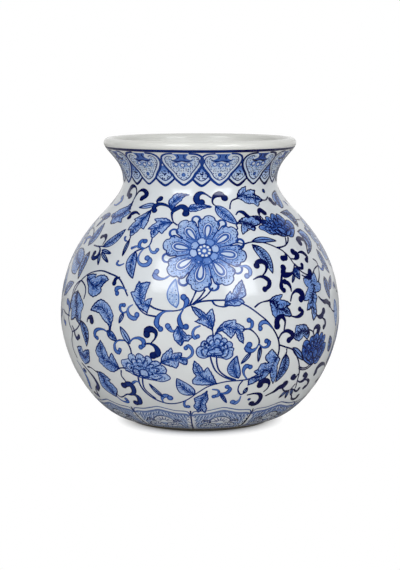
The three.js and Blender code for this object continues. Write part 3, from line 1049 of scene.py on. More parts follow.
# Leaves with a cut edge: root, then the outline with 1 for a tip and -1 for a notch, and tone
CUT_LEAVES = [
    ((64.5, 191), [(57, 206, 1), (62, 207), (67.5, 207.5, 1), (69.6, 201), (68, 195, -1),
                   (64.5, 190.5, 1), (63, 196, -1), (61, 201)], PALE + 0.1),
    ((61, 178), [(60.5, 186, 1), (65, 187), (68.3, 181), (67, 174), (62, 168), (57.8, 165.3, 1),
                 (61, 170, -1), (62, 176)], PETAL),
    ((115, 158), [(115.2, 163, -1), (110, 168, 1), (104, 166.5, 1), (103, 157, -1), (107, 148, 1),
                  (113.5, 146.5, 1), (115, 153)], PALE + 0.06),
    ((-18, 212), [(-18, 212, -1), (-21.3, 220.5, 1), (-20, 222.5), (-17.5, 226.3), (-13, 226.7),
                  (-7.5, 226, 1), (-11, 224.2), (-12.8, 220.5, -1), (-15, 218), (-17.3, 213)], LEAF),
    ((-7.5, 213.5), [(-7.5, 213.5, -1), (-6, 216.5), (-3.5, 217.8, 1), (-1.8, 216.6, -1), (0, 217.7),
                     (3.5, 217), (7.5, 215, 1), (3, 213.8), (-2, 211), (-6.5, 211)], LEAF),
    ((26, 222.3), [(26, 222.3, -1), (28, 227.5), (31, 230.5), (35, 232, 1), (34.2, 227.6, -1),
                   (38, 229.2), (43, 228.2, 1), (40.4, 224.6, -1), (44, 223.5), (47, 219.8, 1),
                   (43, 218.2, -1), (40, 214, 1), (37.6, 217, -1), (32.5, 217.3), (29, 221)], LEAF),
    ((21, 199), [(20.8, 198.5, -1), (24.5, 203), (28.5, 204.5), (35, 204.5), (35.5, 199), (34, 196.5),
                 (31, 195.5, -1), (29.5, 190.8, 1), (26.5, 193.5, -1), (22, 187.8, 1), (23.5, 198, -1)],
     DEEP),
    ((34, 201), [(32, 204.5, -1), (36.5, 204.5), (37.3, 199, 1), (34.5, 200.5)], PALE + 0.1),
    ((-50.5, 217.5), [(-50.5, 217.5, -1), (-53, 213), (-56, 211), (-59, 209), (-62, 205), (-64, 203, 1),
                      (-60, 200, -1), (-58, 195), (-55, 195), (-52, 197.5, -1), (-49, 196.8, 1),
                      (-51, 200.5, -1), (-49, 203), (-46.5, 207.5, 1), (-49, 209), (-49.5, 213)], LEAF),
    ((-31.5, 211.5), [(-31.5, 211.5, -1), (-36, 206), (-40.5, 201, 1), (-38.5, 200, -1),
                      (-40.8, 190.5, 1), (-38.7, 191, -1), (-37, 184.5, 1), (-33, 193.5, -1),
                      (-31, 192.2, 1), (-30.3, 199), (-31, 206)], LEAF),
    ((-15.5, 199.3), [(-15.5, 199.3, -1), (-20, 203.4), (-26.7, 202.6, 1), (-24.4, 199.5, -1),
                      (-28.3, 192.3, 1), (-26.5, 192.8, -1), (-24.2, 184, 1), (-21.5, 191.3, -1),
                      (-19.8, 188.5, 1), (-17.3, 195)], LEAF),
    ((-54, 145), [(-55, 147.5, -1), (-52, 149.3), (-49, 149.5, 1), (-49.5, 146.5, -1), (-47, 149),
                  (-44, 149.8, 1), (-41, 146.5, 1), (-43, 143.5), (-44.5, 139.5, -1), (-44, 136.3, 1),
                  (-48.5, 131.5, 1), (-51.5, 134), (-52.5, 139), (-54.5, 144)], LEAF),
    ((-60, 132), [(-60, 134, -1), (-64, 130), (-66, 122, 1), (-63.5, 118, -1), (-64, 110, 1),
                  (-60, 113, -1), (-56.5, 108, 1), (-55.5, 118, -1), (-54, 124, 1), (-57, 130)], DEEP),
    ((-20.5, 127), [(-21, 123, -1), (-25.5, 128.5), (-28.8, 137.8, 1), (-27, 139, -1), (-25.6, 147, 1),
                    (-24.8, 145.2, -1), (-20.7, 146.8, 1), (-22, 138.5), (-22.5, 131.5, -1),
                    (-19.3, 134.6, 1), (-20.3, 128)], LEAF),
    ((10, 132), [(9.8, 130, -1), (10.3, 136), (12.2, 140.5, 1), (12.6, 137.8, -1), (17.3, 149, 1),
                 (18.5, 137.8), (16, 134.5, -1), (17.7, 131.5, 1), (15, 129), (11.5, 129.5)], LEAF),
    ((4.7, 112), [(4.7, 111, -1), (5.6, 119), (4.8, 127.3, 1), (2.5, 122.5, -1), (-3.5, 129.2, 1),
                  (0.5, 119, -1), (-2, 117.3, 1), (1.5, 114.5)], LEAF),
    ((28.5, 131), [(28.5, 132, -1), (31, 134.8), (35, 135.8, 1), (33.4, 131.8, -1), (38.6, 127.8, 1),
                   (36.6, 126, -1), (38.7, 118, 1), (34, 120.4, -1), (31.2, 116.9, 1), (29.5, 121),
                   (29, 126)], DEEP),
    ((53, 147), [(52.5, 146, -1), (48.2, 146.3, 1), (48.4, 142), (50.1, 138.5, -1), (48, 134.5),
                 (46.1, 129, 1), (49.6, 129.3, -1), (47.5, 121, 1), (50.5, 122.7, -1),
                 (51.4, 112.2, 1), (53.6, 116.5), (53.6, 125.5, -1), (55.2, 130.7, 1),
                 (54, 134.3, -1), (58.3, 134.8, 1), (59.9, 139.5, 1), (57.5, 142.5, -1),
                 (57, 149.5, 1)], DEEP),
    ((-38, 104), [(-38, 104, -1), (-37, 112), (-36.3, 119), (-38.5, 126), (-41.5, 129.5), (-44, 130),
                  (-47, 126), (-49, 121, 1), (-46, 120.5), (-43.5, 119.5, -1), (-41, 114.5),
                  (-38.5, 111)], LEAF),
    ((-61, 86), [(-61, 88, -1), (-57, 89.5, 1), (-57, 84.5, -1), (-51.7, 88, 1), (-53.5, 78),
                 (-58, 74, 1), (-60.5, 80)], LEAF),
    ((-36, 77), [(-35.5, 75.8, -1), (-36.5, 82), (-38, 88.5, 1), (-40, 82.5, -1), (-43.2, 98, 1),
                 (-47, 88.5), (-45.8, 82, -1), (-46.5, 79.5, 1), (-43, 74), (-39.5, 72)], LEAF),
    ((-49, 68), [(-50, 69.5, -1), (-46.5, 69), (-42.8, 64, 1), (-44.5, 62.5, -1), (-41, 55, 1),
                 (-43.5, 48, -1), (-44.5, 46.5, 1), (-49.5, 51.5), (-51.3, 56.5), (-50.2, 66)], LEAF),
    ((-15.8, 83.5), [(-15.8, 83.5, -1), (-14.8, 90), (-11.2, 96.5, 1), (-10.8, 91.5, -1), (-7.1, 92.4, 1),
                     (-7.9, 88.2, -1), (-5.1, 88.2, 1), (-5.4, 82.6, 1), (-8.4, 85, -1),
                     (-9.5, 79.5, 1), (-12.7, 81.5)], LEAF),
    ((-8.7, 113.2), [(-8.7, 113.2, -1), (-10.2, 108), (-9.8, 103), (-7.5, 98.3, 1), (-6.3, 102.5, -1),
                     (-4.6, 102.2, 1), (-3, 105.8), (-5, 106.8, -1), (-6.3, 109.5),
                     (-7.5, 112.5)], LEAF),
    ((6.5, 65.5), [(7, 65.5, -1), (5, 74), (3, 80.5, 1), (1.7, 76, -1), (-2.3, 86, 1), (-2.8, 78),
                   (-1.5, 72.5, -1), (-3.2, 68.3, 1), (-2.5, 65.3), (2, 64.5)], LEAF),
    ((3, 58.3), [(3, 58.3, -1), (1, 55), (-2.5, 51), (-2.2, 46.5), (-3, 42), (-1.8, 39), (-1, 35, 1),
                 (0.8, 40, -1), (2.5, 34.5, 1), (3.2, 40), (2.6, 45), (3.6, 50), (3.2, 55)], LEAF),
    ((6, 109), [(6, 108, -1), (7.5, 113), (10, 117.2), (14, 118.3, 1), (13.8, 116, -1), (16.3, 113.5),
                (17.6, 111, 1), (16.4, 108.5, -1), (17, 99.5, 1), (15, 103), (13.8, 109.5, -1),
                (12, 104, 1), (10.4, 107), (8.3, 110)], LEAF),
    ((32.8, 85), [(32.8, 87, -1), (30.3, 92), (29.5, 93.2, 1), (27, 87), (29, 81.5, -1), (25.5, 81.5, 1),
                  (24.5, 77, -1), (22.8, 75, 1), (25, 72.5, -1), (21.3, 68.5), (21.2, 63, 1),
                  (26, 68, -1), (26.2, 64.5, 1), (30.3, 73.5, -1), (31.8, 67), (33.7, 62, 1), (34.2, 70),
                  (33.4, 79), (34, 84)], LEAF),
    ((48, 104), [(48, 106.5, -1), (46, 110), (41, 110.2, 1), (40.5, 105, -1), (39.3, 101.5, 1),
                 (43, 97.5, 1), (45.5, 101.5, -1), (48, 98, 1), (49, 102)], DEEP),
]

# Peonies: the lobes from notch to notch, then the pale caps and the dark blobs
LEFT_PEONY = (
    [[(-30, 85.3), (-29.8, 88.3), (-28.6, 89.7), (-27.3, 89)],
     [(-26.6, 87), (-26, 89.3), (-24.9, 90.4), (-23.6, 89.2)],
     [(-22.2, 86.3), (-22.1, 88.2), (-21.3, 88.8), (-20.1, 87.6)],
     [(-19.4, 84.4), (-17.7, 85), (-16.5, 83.7)],
     [(-16, 82), (-14.5, 80.3), (-13.7, 77.5)],
     [(-14.2, 74.4), (-12.6, 71.5), (-12.6, 69.5), (-14.4, 67.7), (-16.4, 66.7)],
     [(-18.8, 67.6), (-20.5, 67.9), (-22.4, 68.3)],
     [(-24.4, 69), (-26.4, 69.8), (-28.6, 71.3), (-30.2, 73)],
     [(-32.2, 74.6), (-33.4, 78.5), (-33.8, 81.5), (-33.3, 83.6), (-31.8, 84.3)]],
    [[(-29, 75.4), (-27.8, 76.8), (-26.2, 76), (-25.8, 72), (-26.8, 70.6), (-28.6, 72.4)],
     [(-25.4, 76), (-23.5, 77), (-22, 75), (-22, 71), (-24, 70), (-25.4, 71.5)]],
    [(-29.2, 77.5), (-25.6, 79.5), (-17.8, 76), (-28.6, 82.4), (-20, 73)],
)
MIDDLE_PEONY = (
    [[(3.9, 89.9), (1.6, 88.2), (-0.6, 89.5), (-1.5, 93), (-1, 96.5)],
     [(0.3, 98.2), (0.5, 100.6), (1.5, 102.3), (2.3, 102)],
     [(2.6, 101.2), (2.6, 103.6), (3.4, 105.8), (4.6, 106.5)],
     [(5, 105.2), (6.3, 107.8), (7.4, 107.6), (8.4, 105.8)],
     [(8.6, 103.8), (9.4, 104.4), (10.4, 103)],
     [(10.6, 101.2), (11.6, 101.4), (12.6, 99.6), (12.6, 97.6)],
     [(12.3, 96.8), (13.3, 95.6), (12.9, 93.4), (12.9, 90), (11.8, 87.8), (10.3, 86.9), (9, 88)]],
    [[(3.1, 90.3), (2.8, 92.5), (3.4, 94.6), (4.8, 95.2), (6.2, 97.2), (7.6, 96.4), (8.3, 94.4),
      (8.9, 92.6), (8.6, 90.6)]],
    [(3.3, 98.7), (9.3, 98.3), (9, 94), (1.8, 99.8), (2.7, 101)],
)
LOWER_RIGHT_PEONY = (
    [[(45.5, 93), (46.2, 96.5), (48, 97.2)],
     [(49.3, 95.5), (50, 98.8), (51.5, 99.6)],
     [(52.2, 98.5), (53.6, 101.5), (55.2, 101)],
     [(56, 98), (57.5, 100.8), (58.7, 100.6)],
     [(59.2, 97.5), (61, 98.5), (61.6, 96)],
     [(61, 92), (63, 91), (63.5, 86), (62.4, 82)],
     [(61.3, 79), (60, 75.2), (58, 74.4)],
     [(56.2, 76), (54, 74.6), (51, 77), (47.5, 81), (45.8, 86)]],
    [[(51, 86.5), (49.6, 83), (50.6, 79.8), (52.6, 79.4), (53.2, 83.6), (52.6, 86)],
     [(54, 87.6), (53.8, 83), (55, 80.2), (57, 81), (57, 85), (56, 87.6)]],
    [(50, 93), (53, 91.5), (57.5, 92.5), (59.5, 87), (47.8, 88)],
)
UPPER_RIGHT_PEONY = (
    [[(36, 195.6), (34.5, 195.4), (33, 193.8), (33.4, 191.6), (35.4, 190.3), (37.8, 187)],
     [(40, 185.8), (42.6, 185.6), (44.8, 183.8), (47, 183.2)],
     [(49.6, 183.6), (51.2, 182.2), (53.2, 182.2), (55.4, 184.4), (57.6, 187)],
     [(59.4, 190), (60.6, 193), (60, 196), (58.2, 198.2)],
     [(56, 197.6), (55.2, 201), (53.6, 204), (51.8, 205.2)],
     [(50.3, 202.6), (49.2, 205), (47.6, 205.8), (46, 204.4)],
     [(44.7, 201.4), (43, 203.4), (41, 203)],
     [(40.2, 199.8), (38.6, 200.6), (37, 199)]],
    [[(45.2, 191.6), (47, 192.2), (49, 190.6), (50, 187), (48.6, 184.8), (46.6, 187)],
     [(42.4, 189.2), (43.6, 190.2), (45.4, 187.4), (46, 185), (43.8, 185.6)]],
    [(41, 193.5), (45, 195.5), (50, 195), (54, 192), (47.6, 199.5), (39, 190)],
)

# The lotus: its middle on the chart, its petals, its first petal's angle, its seeds and its beads
LOTUS = (2, 173.6)
PETALS = 8
FIRST_PETAL = 80
SEED_RING = 5.8
BEADS = 9
BEAD_RING = 4.2
BEAD_RADIUS = 1.05

# One side of each shape in the lotus, as places outwards and sideways from its middle
PETAL_SIDE = [(8, 3.0, -1), (16, 6.2), (22, 8.3), (25.5, 9.3), (28.2, 8.3), (29.4, 5.2, 1),
              (32, 4), (33.4, 0)]
DROP_SIDE = [(11.8, 0.8), (14.5, 2.7), (18.5, 4.0), (22.5, 3.9), (25.3, 2.2), (26.3, 0)]
DROP_BAND = [(12.4, 0.5), (15, 1.6), (19, 2.3), (22, 2.1), (23.5, 1.1), (23.9, 0)]
LOOP_SIDE = [(27, 2.6), (29.6, 3.5), (32, 2.6), (33.1, 0)]
CAP_SIDE = [(6.2, 2.6, 1), (8.5, 3.7), (10.8, 2.9), (11.8, 0)]
CAP_TONES = (0.24, 0.32, 0.26, 0.6, 0.5, 0.42, 0.26, 0.46)

# The strip of the front that is painted again, mirrored, between the front and the back
STRIP = (-15, 17)
SIDE = 90
SIDE_LOTUS_SIZE = 0.8

# Middles of the ruyi heads, and half of one: share of half its width, and climb
HEARTS = (-66, -40, -11.6, 14.1, 42.3, 68, 91.5)
HEART_SIDE = [(0, 233.8), (0.3, 236.4), (0.5, 239.4), (0.62, 242.6), (0.84, 247), (0.98, 252),
              (1.0, 256), (0.91, 260), (0.7, 262.4), (0.4, 263)]
HEART_LINE = [(0, 237.6), (0.28, 239.8), (0.42, 243.2), (0.64, 247.8), (0.79, 252.2), (0.82, 256),
              (0.74, 259), (0.58, 260.2), (0.44, 259)]
HOOK = [(0.72, 261), (0.52, 261.7), (0.34, 260.8), (0.28, 258.6), (0.42, 257.2)]
CLOUD_SIDE = [(0, 255.2), (0.26, 254.4), (0.52, 256.4), (0.36, 258.4), (0.3, 261), (0.36, 263.4)]
LASH = [(0.16, 262), (0.12, 259.4), (0.2, 257)]
PEARLS = [(-0.32, 251.6), (0, 250.6), (0.32, 251.6)]
PEARL_RADIUS = 1.7
DOT_CLIMB = 242
HEART_CLIMB = 250
RING_ABOVE = 1.5

# The small tongue between two heads: share of half its width, and climb
TONGUE_EDGE = [(-0.5, 238.4), (-0.28, 235.4), (0, 233.2), (0.28, 235.4), (0.5, 238.4)]
TONGUE_LINE = [(-0.2, 246), (-0.36, 241), (0, 237), (0.36, 241), (0.2, 246)]
TONGUE_FIELD = [(-0.12, 250), (-0.3, 246), (-0.5, 239.5), (0, 234.5), (0.5, 239.5), (0.3, 246),
                (0.12, 250)]
TONGUE_TICK = [(-0.08, 243), (0.02, 242), (0.1, 243.2)]

# The tongue's wash by its climb
TONGUE_TONES = ((235, 242, 246, 250), (0.03, 0.16, 0.4, 0.6))

# The band above the foot
LAPPETS = 11
LAPPET = 360 / LAPPETS
FIRST_LAPPET = -4.8 - 5 * LAPPET
BAND_FOOT = 4
FOOT_LINE = 10.5
RIM_GAP = 4
DIVIDER_TOP = 36.5

# The pale dashes in a panel: rows and dashes in a row, and where the rows start, follow and end
DASH_ROWS = 6
DASHES = 19
TOP_GAP = 2
ROW_PITCH = 4.6
LOWEST_DASH = 8

# Half of a panel's top edge: share of the panel's width, and climb
LAPPET_SIDE = [(0.015, 31), (0.03, 34.5), (0.08, 36.3), (0.24, 36.9), (0.38, 39), (0.5, 40.6)]

# The lobes of a panel's cloud: share of the panel's width, climb and radius
CLOUD_LOBES = [(0.5, 20.5, 8.5), (0.25, 20.5, 3.8), (0.75, 20.5, 3.8), (0.31, 13, 6.5), (0.66, 13, 6.5)]


def lotus(centre, size=1.0):
    """An open lotus: scalloped petals with a ringed drop each, loops between them, and seeds."""
    def put(angle, half):
        """A shape that is the same on both sides, given by one of them."""
        whole = list(half) + [(x, -y, *rest) for x, y, *rest in half[::-1] if y]
        return framed(centre, angle, [(x * size, y * size, *rest) for x, y, *rest in whole])

    def petal_tone(points):
        scale = (degree_at(centre[1]), 1)
        away = np.hypot(*((points - centre) * scale).T) / size
        return np.interp(away, (8, 19, 33), (0.58, 0.38, 0.22))

    for k in range(PETALS):
        angle = FIRST_PETAL + 360 / PETALS * k
        edge = outline(put(angle, PETAL_SIDE))
        away = np.hypot(*((edge - centre) * (degree_at(centre[1]), 1)).T) / size
        drop = smooth(put(angle, DROP_SIDE), closed=True)
        flower_washes.patch(edge, petal_tone)
        flower_lines.stroke(edge[away > 21], [1.0, 1.2, 1.0, 1.2, 1.0], STEM, curved=False)
        flower_whites.patch(drop, 0.07, spacing=1.8)
        flower_lines.stroke(closed(drop), [0.7, 0.8, 0.7], DEEP + 0.3, curved=False)
        flower_lines.stroke(put(angle, DROP_BAND), [1.2, 1.6, 2.0, 1.6, 1.2], DEEP + 0.28)
        speckle(edge, PETAL + 0.1, 1.8, margin=1.0, bare=drop)
        turn = angle + 180 / PETALS
        loop = smooth(put(turn, LOOP_SIDE)[::-1])
        flower_whites.patch(loop, 0.08, spacing=2)
        flower_lines.stroke(loop, [1.4, 2.0, 1.7, 2.0, 1.4], STEM - 0.16, curved=False)
        between = framed(centre, turn, [(11.5 * size, 0), (17 * size, 0.3), (23 * size, 0)])
        flower_lines.stroke(between, [0.7, 1.1, 0.9], STEM - 0.08)
        cap = outline(put(turn, CAP_SIDE))
        flower_whites.patch(cap, CAP_TONES[k], spacing=1.8, middle=-0.08)
        flower_lines.stroke(closed(cap), [0.8, 1.0], DEEP + 0.34, curved=False)
    seed = smooth([polar(centre, 30 * k, SEED_RING * size) for k in range(12)], closed=True)
    flower_whites.patch(seed, DEEP + 0.24, spacing=1.5)
    for k in range(BEADS):
        place = polar(centre, 10 + 360 / BEADS * k, BEAD_RING * size)
        flower_beads.dot(place, BEAD_RADIUS * size, WHITE)
    flower_beads.dot(centre, 1.5 * size, WHITE, sides=12)
    flower_lines.dot(centre, 0.6)
    flower_lines.stroke(closed(seed), [1.0, 1.0], STEM, curved=False)


def front_scroll():
    """What the photo shows between the collar and the band."""
    for ball, core, points in CURLS:
        curl(ball, core, points)
    for points in STEMS:
        stem(points)
    for azimuth, climb, radius in KNOBS:
        knob((azimuth, climb), radius)
    for base, tip, width, bend, tone in LEAVES:
        leaf(base, tip, width, bend, tone)
    for root, points, tone in CUT_LEAVES:
        cut_leaf(root, points, tone)
    flower(*LEFT_PEONY, tone=PETAL)
    flower(*MIDDLE_PEONY, tone=PETAL + 0.03)
    flower(*LOWER_RIGHT_PEONY, tone=DEEP + 0.1)
    flower(*UPPER_RIGHT_PEONY, tone=DEEP + 0.06)
    lotus(LOTUS)


def side_scroll():
    """The middle strip of the front, mirrored, fills the sides that the photo doesn't show."""
    def mirrored(points):
        return [(SIDE - p[0], *p[1:]) for p in points]

    def in_strip(points):
        return all(STRIP[0] < p[0] < STRIP[1] for p in points)

    for ball, core, points in CURLS:
        if in_strip(points):
            curl(ball, core, mirrored(points))
    for points in STEMS:
        if in_strip(points):
            stem(mirrored(points))
    for base, tip, width, bend, tone in LEAVES:
        if in_strip([base, tip]):
            leaf(*mirrored([base, tip]), width, -bend, tone)
    for root, points, tone in CUT_LEAVES:
        if in_strip(points):
            cut_leaf(mirrored([root])[0], mirrored(points), tone)
    lobes, caps, blobs = MIDDLE_PEONY
    flower([mirrored(lobe)[::-1] for lobe in lobes][::-1], [mirrored(cap) for cap in caps],
           mirrored(blobs))
    lotus(mirrored([LOTUS])[0], SIDE_LOTUS_SIZE)


def heart(centre, half):
    """A ruyi head of the collar: two lines, white hooks, a cloud, pearls, a dot and stipple."""
    def one(side, places):
        return [(centre + side * u * half, climb) for u, climb in places]

    def both(places):
        return one(-1, places)[:0:-1] + one(1, places)

    outer, inner, cloud = (smooth(both(shape)) for shape in (HEART_SIDE, HEART_LINE, CLOUD_SIDE))
    pearls = np.array([(centre + u * half, climb) for u, climb in PEARLS])

    def tone_of(points):
        apart = (points[:, None] - pearls[None]) * (degree_at(HEART_CLIMB), 1)
        shade = np.where(np.hypot(apart[..., 0], apart[..., 1]).min(1) < 3.0, 0.3, 0.1)
        tone = np.where(inside(inner, points), shade, 0.03)
        tone = np.where(inside(cloud, points), DEEP + 0.2, tone)
        return tone + hand.uniform(-0.07, 0.07, len(points))

    collar_washes.patch(outer, tone_of, spacing=1.2)
    collar_lines.stroke(outer, [1.7, 2.1, 1.8, 2.1, 1.7], STEM - 0.08, curved=False)
    collar_lines.stroke(inner, [0.8, 0.9, 0.8], STEM - 0.06, curved=False)
    brow = cloud[len(cloud) // 5:-len(cloud) // 5]
    collar_lines.stroke(brow, [0.7, 1.8, 1.2, 1.8, 0.7], STEM, curved=False)
    for side in (-1, 1):
        collar_whites.stroke(one(side, HOOK), [1.2, 1.4, 1.5, 1.7, 1.9], WHITE)
        collar_lines.stroke(one(side, LASH), [0.7, 1.2, 0.6], STEM)
    for pearl in pearls:
        ring = [polar(pearl, angle, PEARL_RADIUS) for angle in range(0, 361, 45)]
        collar_whites.dot(pearl, PEARL_RADIUS, WHITE)
        collar_lines.stroke(ring, [0.8, 0.8], DEEP + 0.24)
    dot = np.array((centre, DOT_CLIMB))
    collar_lines.dot(dot, PEARL_RADIUS, STEM, DEEP + 0.15, sides=12)
    for point in grid_in(inner, 1.9, 0.9, jitter=0.22):
        apart = np.hypot(*((np.vstack([pearls, dot]) - point) * (degree_at(HEART_CLIMB), 1)).T)
        near_cloud = point[1] > HEART_CLIMB + 3 and abs(point[0] - centre) < 0.56 * half
        if apart.min() > 2.6 and not near_cloud:
            collar_lines.dot(point, hand.uniform(0.4, 0.66), STEM, sides=6)


def tongue(centre, half):
    """The small tongue between two ruyi heads: a wash, two lines, a tick and dots."""
    def across(places):
        return smooth([(centre + u * half, climb) for u, climb in places])

    edge, inner = across(TONGUE_EDGE), across(TONGUE_LINE)
    collar_washes.patch(across(TONGUE_FIELD), lambda points: np.interp(points[:, 1], *TONGUE_TONES),
                        spacing=1.5)
    collar_lines.stroke(edge, [1.6, 2.0, 2.3, 2.0, 1.6], STEM, curved=False)
    collar_lines.stroke(inner, [0.8, 0.9, 0.8], STEM - 0.06, curved=False)
    collar_lines.stroke(across(TONGUE_TICK), [1.0, 1.6, 0.8], INK, curved=False)
    for point in grid_in(inner, 1.9, 0.9, jitter=0.3):
        collar_lines.dot(point, hand.uniform(0.45, 0.75), INK, sides=6)


def collar():
    """The ruyi heads with a tongue between each two, and the ring line over them."""
    around = [a - HALF for a in HEARTS[-1:]] + list(HEARTS) + [a + HALF for a in HEARTS[:1]]
    for before, centre, after in zip(around, around[1:], around[2:]):
        heart(centre, (after - before) / 4)
        tongue((centre + after) / 2, (after - centre) / 2)
    ring = [(HALF_START + a, FLARE_CLIMB + RING_ABOVE) for a in range(0, HALF + 1, 2)]
    collar_lines.stroke(ring, [2.4, 2.4], INK, curved=False)


def lappet(start):
    """One panel of the band above the foot: a rim, rows of pale dashes and a cloud."""
    def across(share):
        return start + share * LAPPET

    left = [(across(share), climb) for share, climb in LAPPET_SIDE]
    right = [(across(1 - share), climb) for share, climb in LAPPET_SIDE[-2::-1]]
    top = left + right
    band_lines.stroke(smooth(top), [1.1, 1.1, 1.1], DEEP + 0.24, curved=False)
    lower = smooth([(azimuth, climb - RIM_GAP) for azimuth, climb in top[1:-1]])
    ground = [(across(0.02), BAND_FOOT), (across(0.98), BAND_FOOT)]
    band_washes.patch(np.concatenate([lower, ground[::-1]]), PETAL + 0.06, spacing=3)
    foot_line = [(across(share), FOOT_LINE) for share in (0, 0.5, 1)]
    band_lines.stroke(foot_line, [1.0, 1.0], DEEP + 0.28)
    band_lines.stroke(lower, [1.8, 2.4, 1.8], DEEP + 0.12, curved=False)
    band_lines.stroke([(across(0), DIVIDER_TOP), (across(0), BAND_FOOT)], [1.2, 1.6], STEM)
    lobes = [((across(share), climb), radius) for share, climb, radius in CLOUD_LOBES]
    clouds = [[polar(middle, angle, radius) for angle in range(-10, 191, 20)]
              for middle, radius in lobes]
    for row in range(DASH_ROWS):
        for k in range(DASHES):
            share = 0.06 + 0.05 * (k + 0.5 * (row % 2)) + hand.uniform(-0.012, 0.012)
            lean = math.copysign(hand.uniform(0.005, 0.05), 0.5 - share)
            high = np.interp(across(share), lower[:, 0], lower[:, 1]) - TOP_GAP - ROW_PITCH * row
            high += hand.uniform(-0.9, 0.9)
            low = high - hand.uniform(2.2, 3.8)
            dash = np.array([(across(share), high), (across(share - lean), low)])
            covered = any(inside(np.array(cloud), dash).any() for cloud in clouds)
            if covered or share > 0.95 or high < LOWEST_DASH:
                continue
            band_whites.stroke(dash, [1.1, 0.8], 0.13, curved=False)
            shade = dash + (0.024 * LAPPET, 0)
            band_lines.stroke(shade, [0.8, 0.6], DEEP + 0.36, curved=False)
    for edge, (middle, radius) in zip(clouds, lobes):
        band_whites.patch(smooth(edge, closed=True), WHITE, spacing=2.5)
        band_lines.stroke(edge, [0.6, 1.1, 0.6], STEM)
        for angle in range(15, 171, 25):
            ray = [polar(middle, angle, radius * share) for share in (0.35, 0.85)]
            band_lines.stroke(ray, [1.1, 0.7], DEEP + 0.36, curved=False)


def band():
    """The ring of panels above the foot."""
    for k in range(LAPPETS):
        lappet(FIRST_LAPPET + k * LAPPET)


# The scene's furniture

def mirrored_room(tree):
    """What the glaze mirrors: a dark room behind the viewer and white paper behind the vase."""
    place = node(tree, "ShaderNodeTexCoord")
    parts = node(tree, "ShaderNodeSeparateXYZ")
    fade = map_range(tree, PAPER_EDGE, (DARK_ROOM, PAPER))
    room = node(tree, "ShaderNodeBackground")
    room.inputs["Color"].default_value = (1, 1, 1, 1)
    wire(tree, (place, "Generated", parts, 0), (parts, "Y", fade, "Value"),
         (fade, "Result", room, "Strength"))
    return room


def studio():
    """The camera and the white room, which is dimmer for the light that it sends."""
    scene = bpy.context.scene
    scene.view_settings.view_transform = "Standard"
    camera = bpy.data.cameras.new("camera")
    camera.sensor_width = 36
    camera.lens = 36 * FOCAL_PIXELS / PHOTO_HEIGHT
    viewer = bpy.data.objects.new("camera", camera)
    scene.collection.objects.link(viewer)
    viewer.location = EYE
    viewer.rotation_mode = "QUATERNION"
    viewer.rotation_quaternion = (Vector(TARGET) - Vector(EYE)).to_track_quat("-Z", "Y")
    scene.camera = viewer

    world = bpy.data.worlds.new("world")
    scene.world = world
    world.use_nodes = True
    tree = world.node_tree
    path = tree.nodes.new("ShaderNodeLightPath")
    back = tree.nodes["Background"]
    back.inputs["Color"].default_value = (1, 1, 1, 1)
    back.inputs["Strength"].default_value = DIFFUSE_ROOM
    paper = node(tree, "ShaderNodeBackground", Strength=1.0)
    paper.inputs["Color"].default_value = (1, 1, 1, 1)
    for output, other in (("Is Glossy Ray", mirrored_room(tree)), ("Is Camera Ray", paper)):
        mix = tree.nodes.new("ShaderNodeMixShader")
        tree.links.new(path.outputs[output], mix.inputs["Fac"])
        tree.links.new(back.outputs[0], mix.inputs[1])
        tree.links.new(other.outputs[0], mix.inputs[2])
        back = mix
    tree.links.new(back.outputs[0], tree.nodes["World Output"].inputs["Surface"])


def softbox(name, azimuth, elevation, power):
    """A lamp in the direction given from the middle of the vase, facing it."""
    light = bpy.data.lights.new(name, "AREA")
    light.shape = "RECTANGLE"
    light.size, light.size_y = SOFTBOX
    light.energy = power
    light.color = SOFTBOX_COLOUR
    made = bpy.data.objects.new(name, light)
    bpy.context.scene.collection.objects.link(made)
    turn, rise = math.radians(azimuth), math.radians(elevation)
    flat = math.cos(rise)
    away = Vector((math.sin(turn) * flat, -math.cos(turn) * flat, math.sin(rise)))
    made.location = Vector(VASE_MIDDLE) + LAMP_DISTANCE * away
    made.rotation_mode = "QUATERNION"
    made.rotation_quaternion = (-away).to_track_quat("-Z", "Y")
    return made


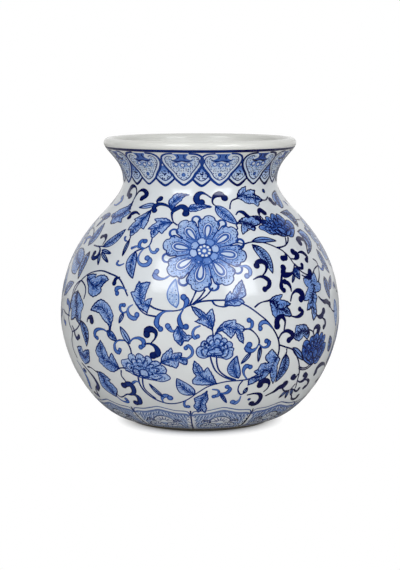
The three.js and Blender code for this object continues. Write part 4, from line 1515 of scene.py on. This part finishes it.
def floor_material():
    """White to the camera but for the shadow close to the foot, and dim where the glaze mirrors it."""
    material, tree, shader = principled("floor", (0.8, 0.8, 0.8), 1.0)
    shader.inputs["Specular IOR Level"].default_value = 0
    white = node(tree, "ShaderNodeEmission", Strength=1.0)
    place = node(tree, "ShaderNodeTexCoord")
    shaped = node(tree, "ShaderNodeVectorMath", operation="MULTIPLY")
    shaped.inputs[1].default_value = SHADOW_SHAPE
    flat = node(tree, "ShaderNodeVectorMath", operation="LENGTH")
    fade = map_range(tree, (SHADOW_START, SHADOW_END), (0, 1))
    path = tree.nodes.new("ShaderNodeLightPath")
    seen = node(tree, "ShaderNodeMath", operation="MULTIPLY")
    parts = node(tree, "ShaderNodeSeparateXYZ")
    mirrored = tree.nodes.new("ShaderNodeEmission")
    behind = map_range(tree, FLOOR_EDGE, MIRRORED_FLOOR)
    dim = tree.nodes.new("ShaderNodeMixShader")
    mix = tree.nodes.new("ShaderNodeMixShader")
    wire(tree, (place, "Object", shaped, 0), (shaped, 0, flat, 0), (flat, "Value", fade, "Value"),
         (fade, "Result", seen, 0), (path, "Is Camera Ray", seen, 1), (seen, 0, mix, "Fac"),
         (place, "Object", parts, 0), (parts, "Y", behind, "Value"),
         (behind, "Result", mirrored, "Strength"), (path, "Is Glossy Ray", dim, "Fac"),
         (shader, 0, dim, 1), (mirrored, 0, dim, 2), (dim, 0, mix, 1), (white, 0, mix, 2))
    tree.links.new(mix.outputs[0], tree.nodes["Material Output"].inputs["Surface"])
    return material


def floor():
    """The white floor that the vase stands on."""
    mesh = bpy.data.meshes.new("floor")
    corners = [(x * FLOOR_HALF, y * FLOOR_HALF, 0) for x, y in ((-1, -1), (1, -1), (1, 1), (-1, 1))]
    mesh.from_pydata(corners, [], [(0, 1, 2, 3)])
    mesh.materials.append(floor_material())
    made = bpy.data.objects.new("floor", mesh)
    bpy.context.scene.collection.objects.link(made)


# The scene itself

studio()
floor()
softbox("key_left", *KEY_LEFT)
softbox("key_right", *KEY_RIGHT)
softbox("fill_back", *FILL_BACK).visible_glossy = False

glazes = porcelain("porcelain_glaze", GLAZE_ROUGHNESS), porcelain("inside_glaze", INSIDE_ROUGHNESS)
skin = revolve("glazed_body", *body_line(), SKIN_COLUMNS, glazes)
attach(skin, "root")
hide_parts("lower_body", "upper_body", "neck")

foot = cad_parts["foot_ring"]
foot.data.materials.clear()
# The foot's clay is painted dark with the shade under the vase
foot.data.materials.append(biscuit())

front_scroll()
side_scroll()
collar()
band()
for sheet in SHEETS:
    sheet.build()
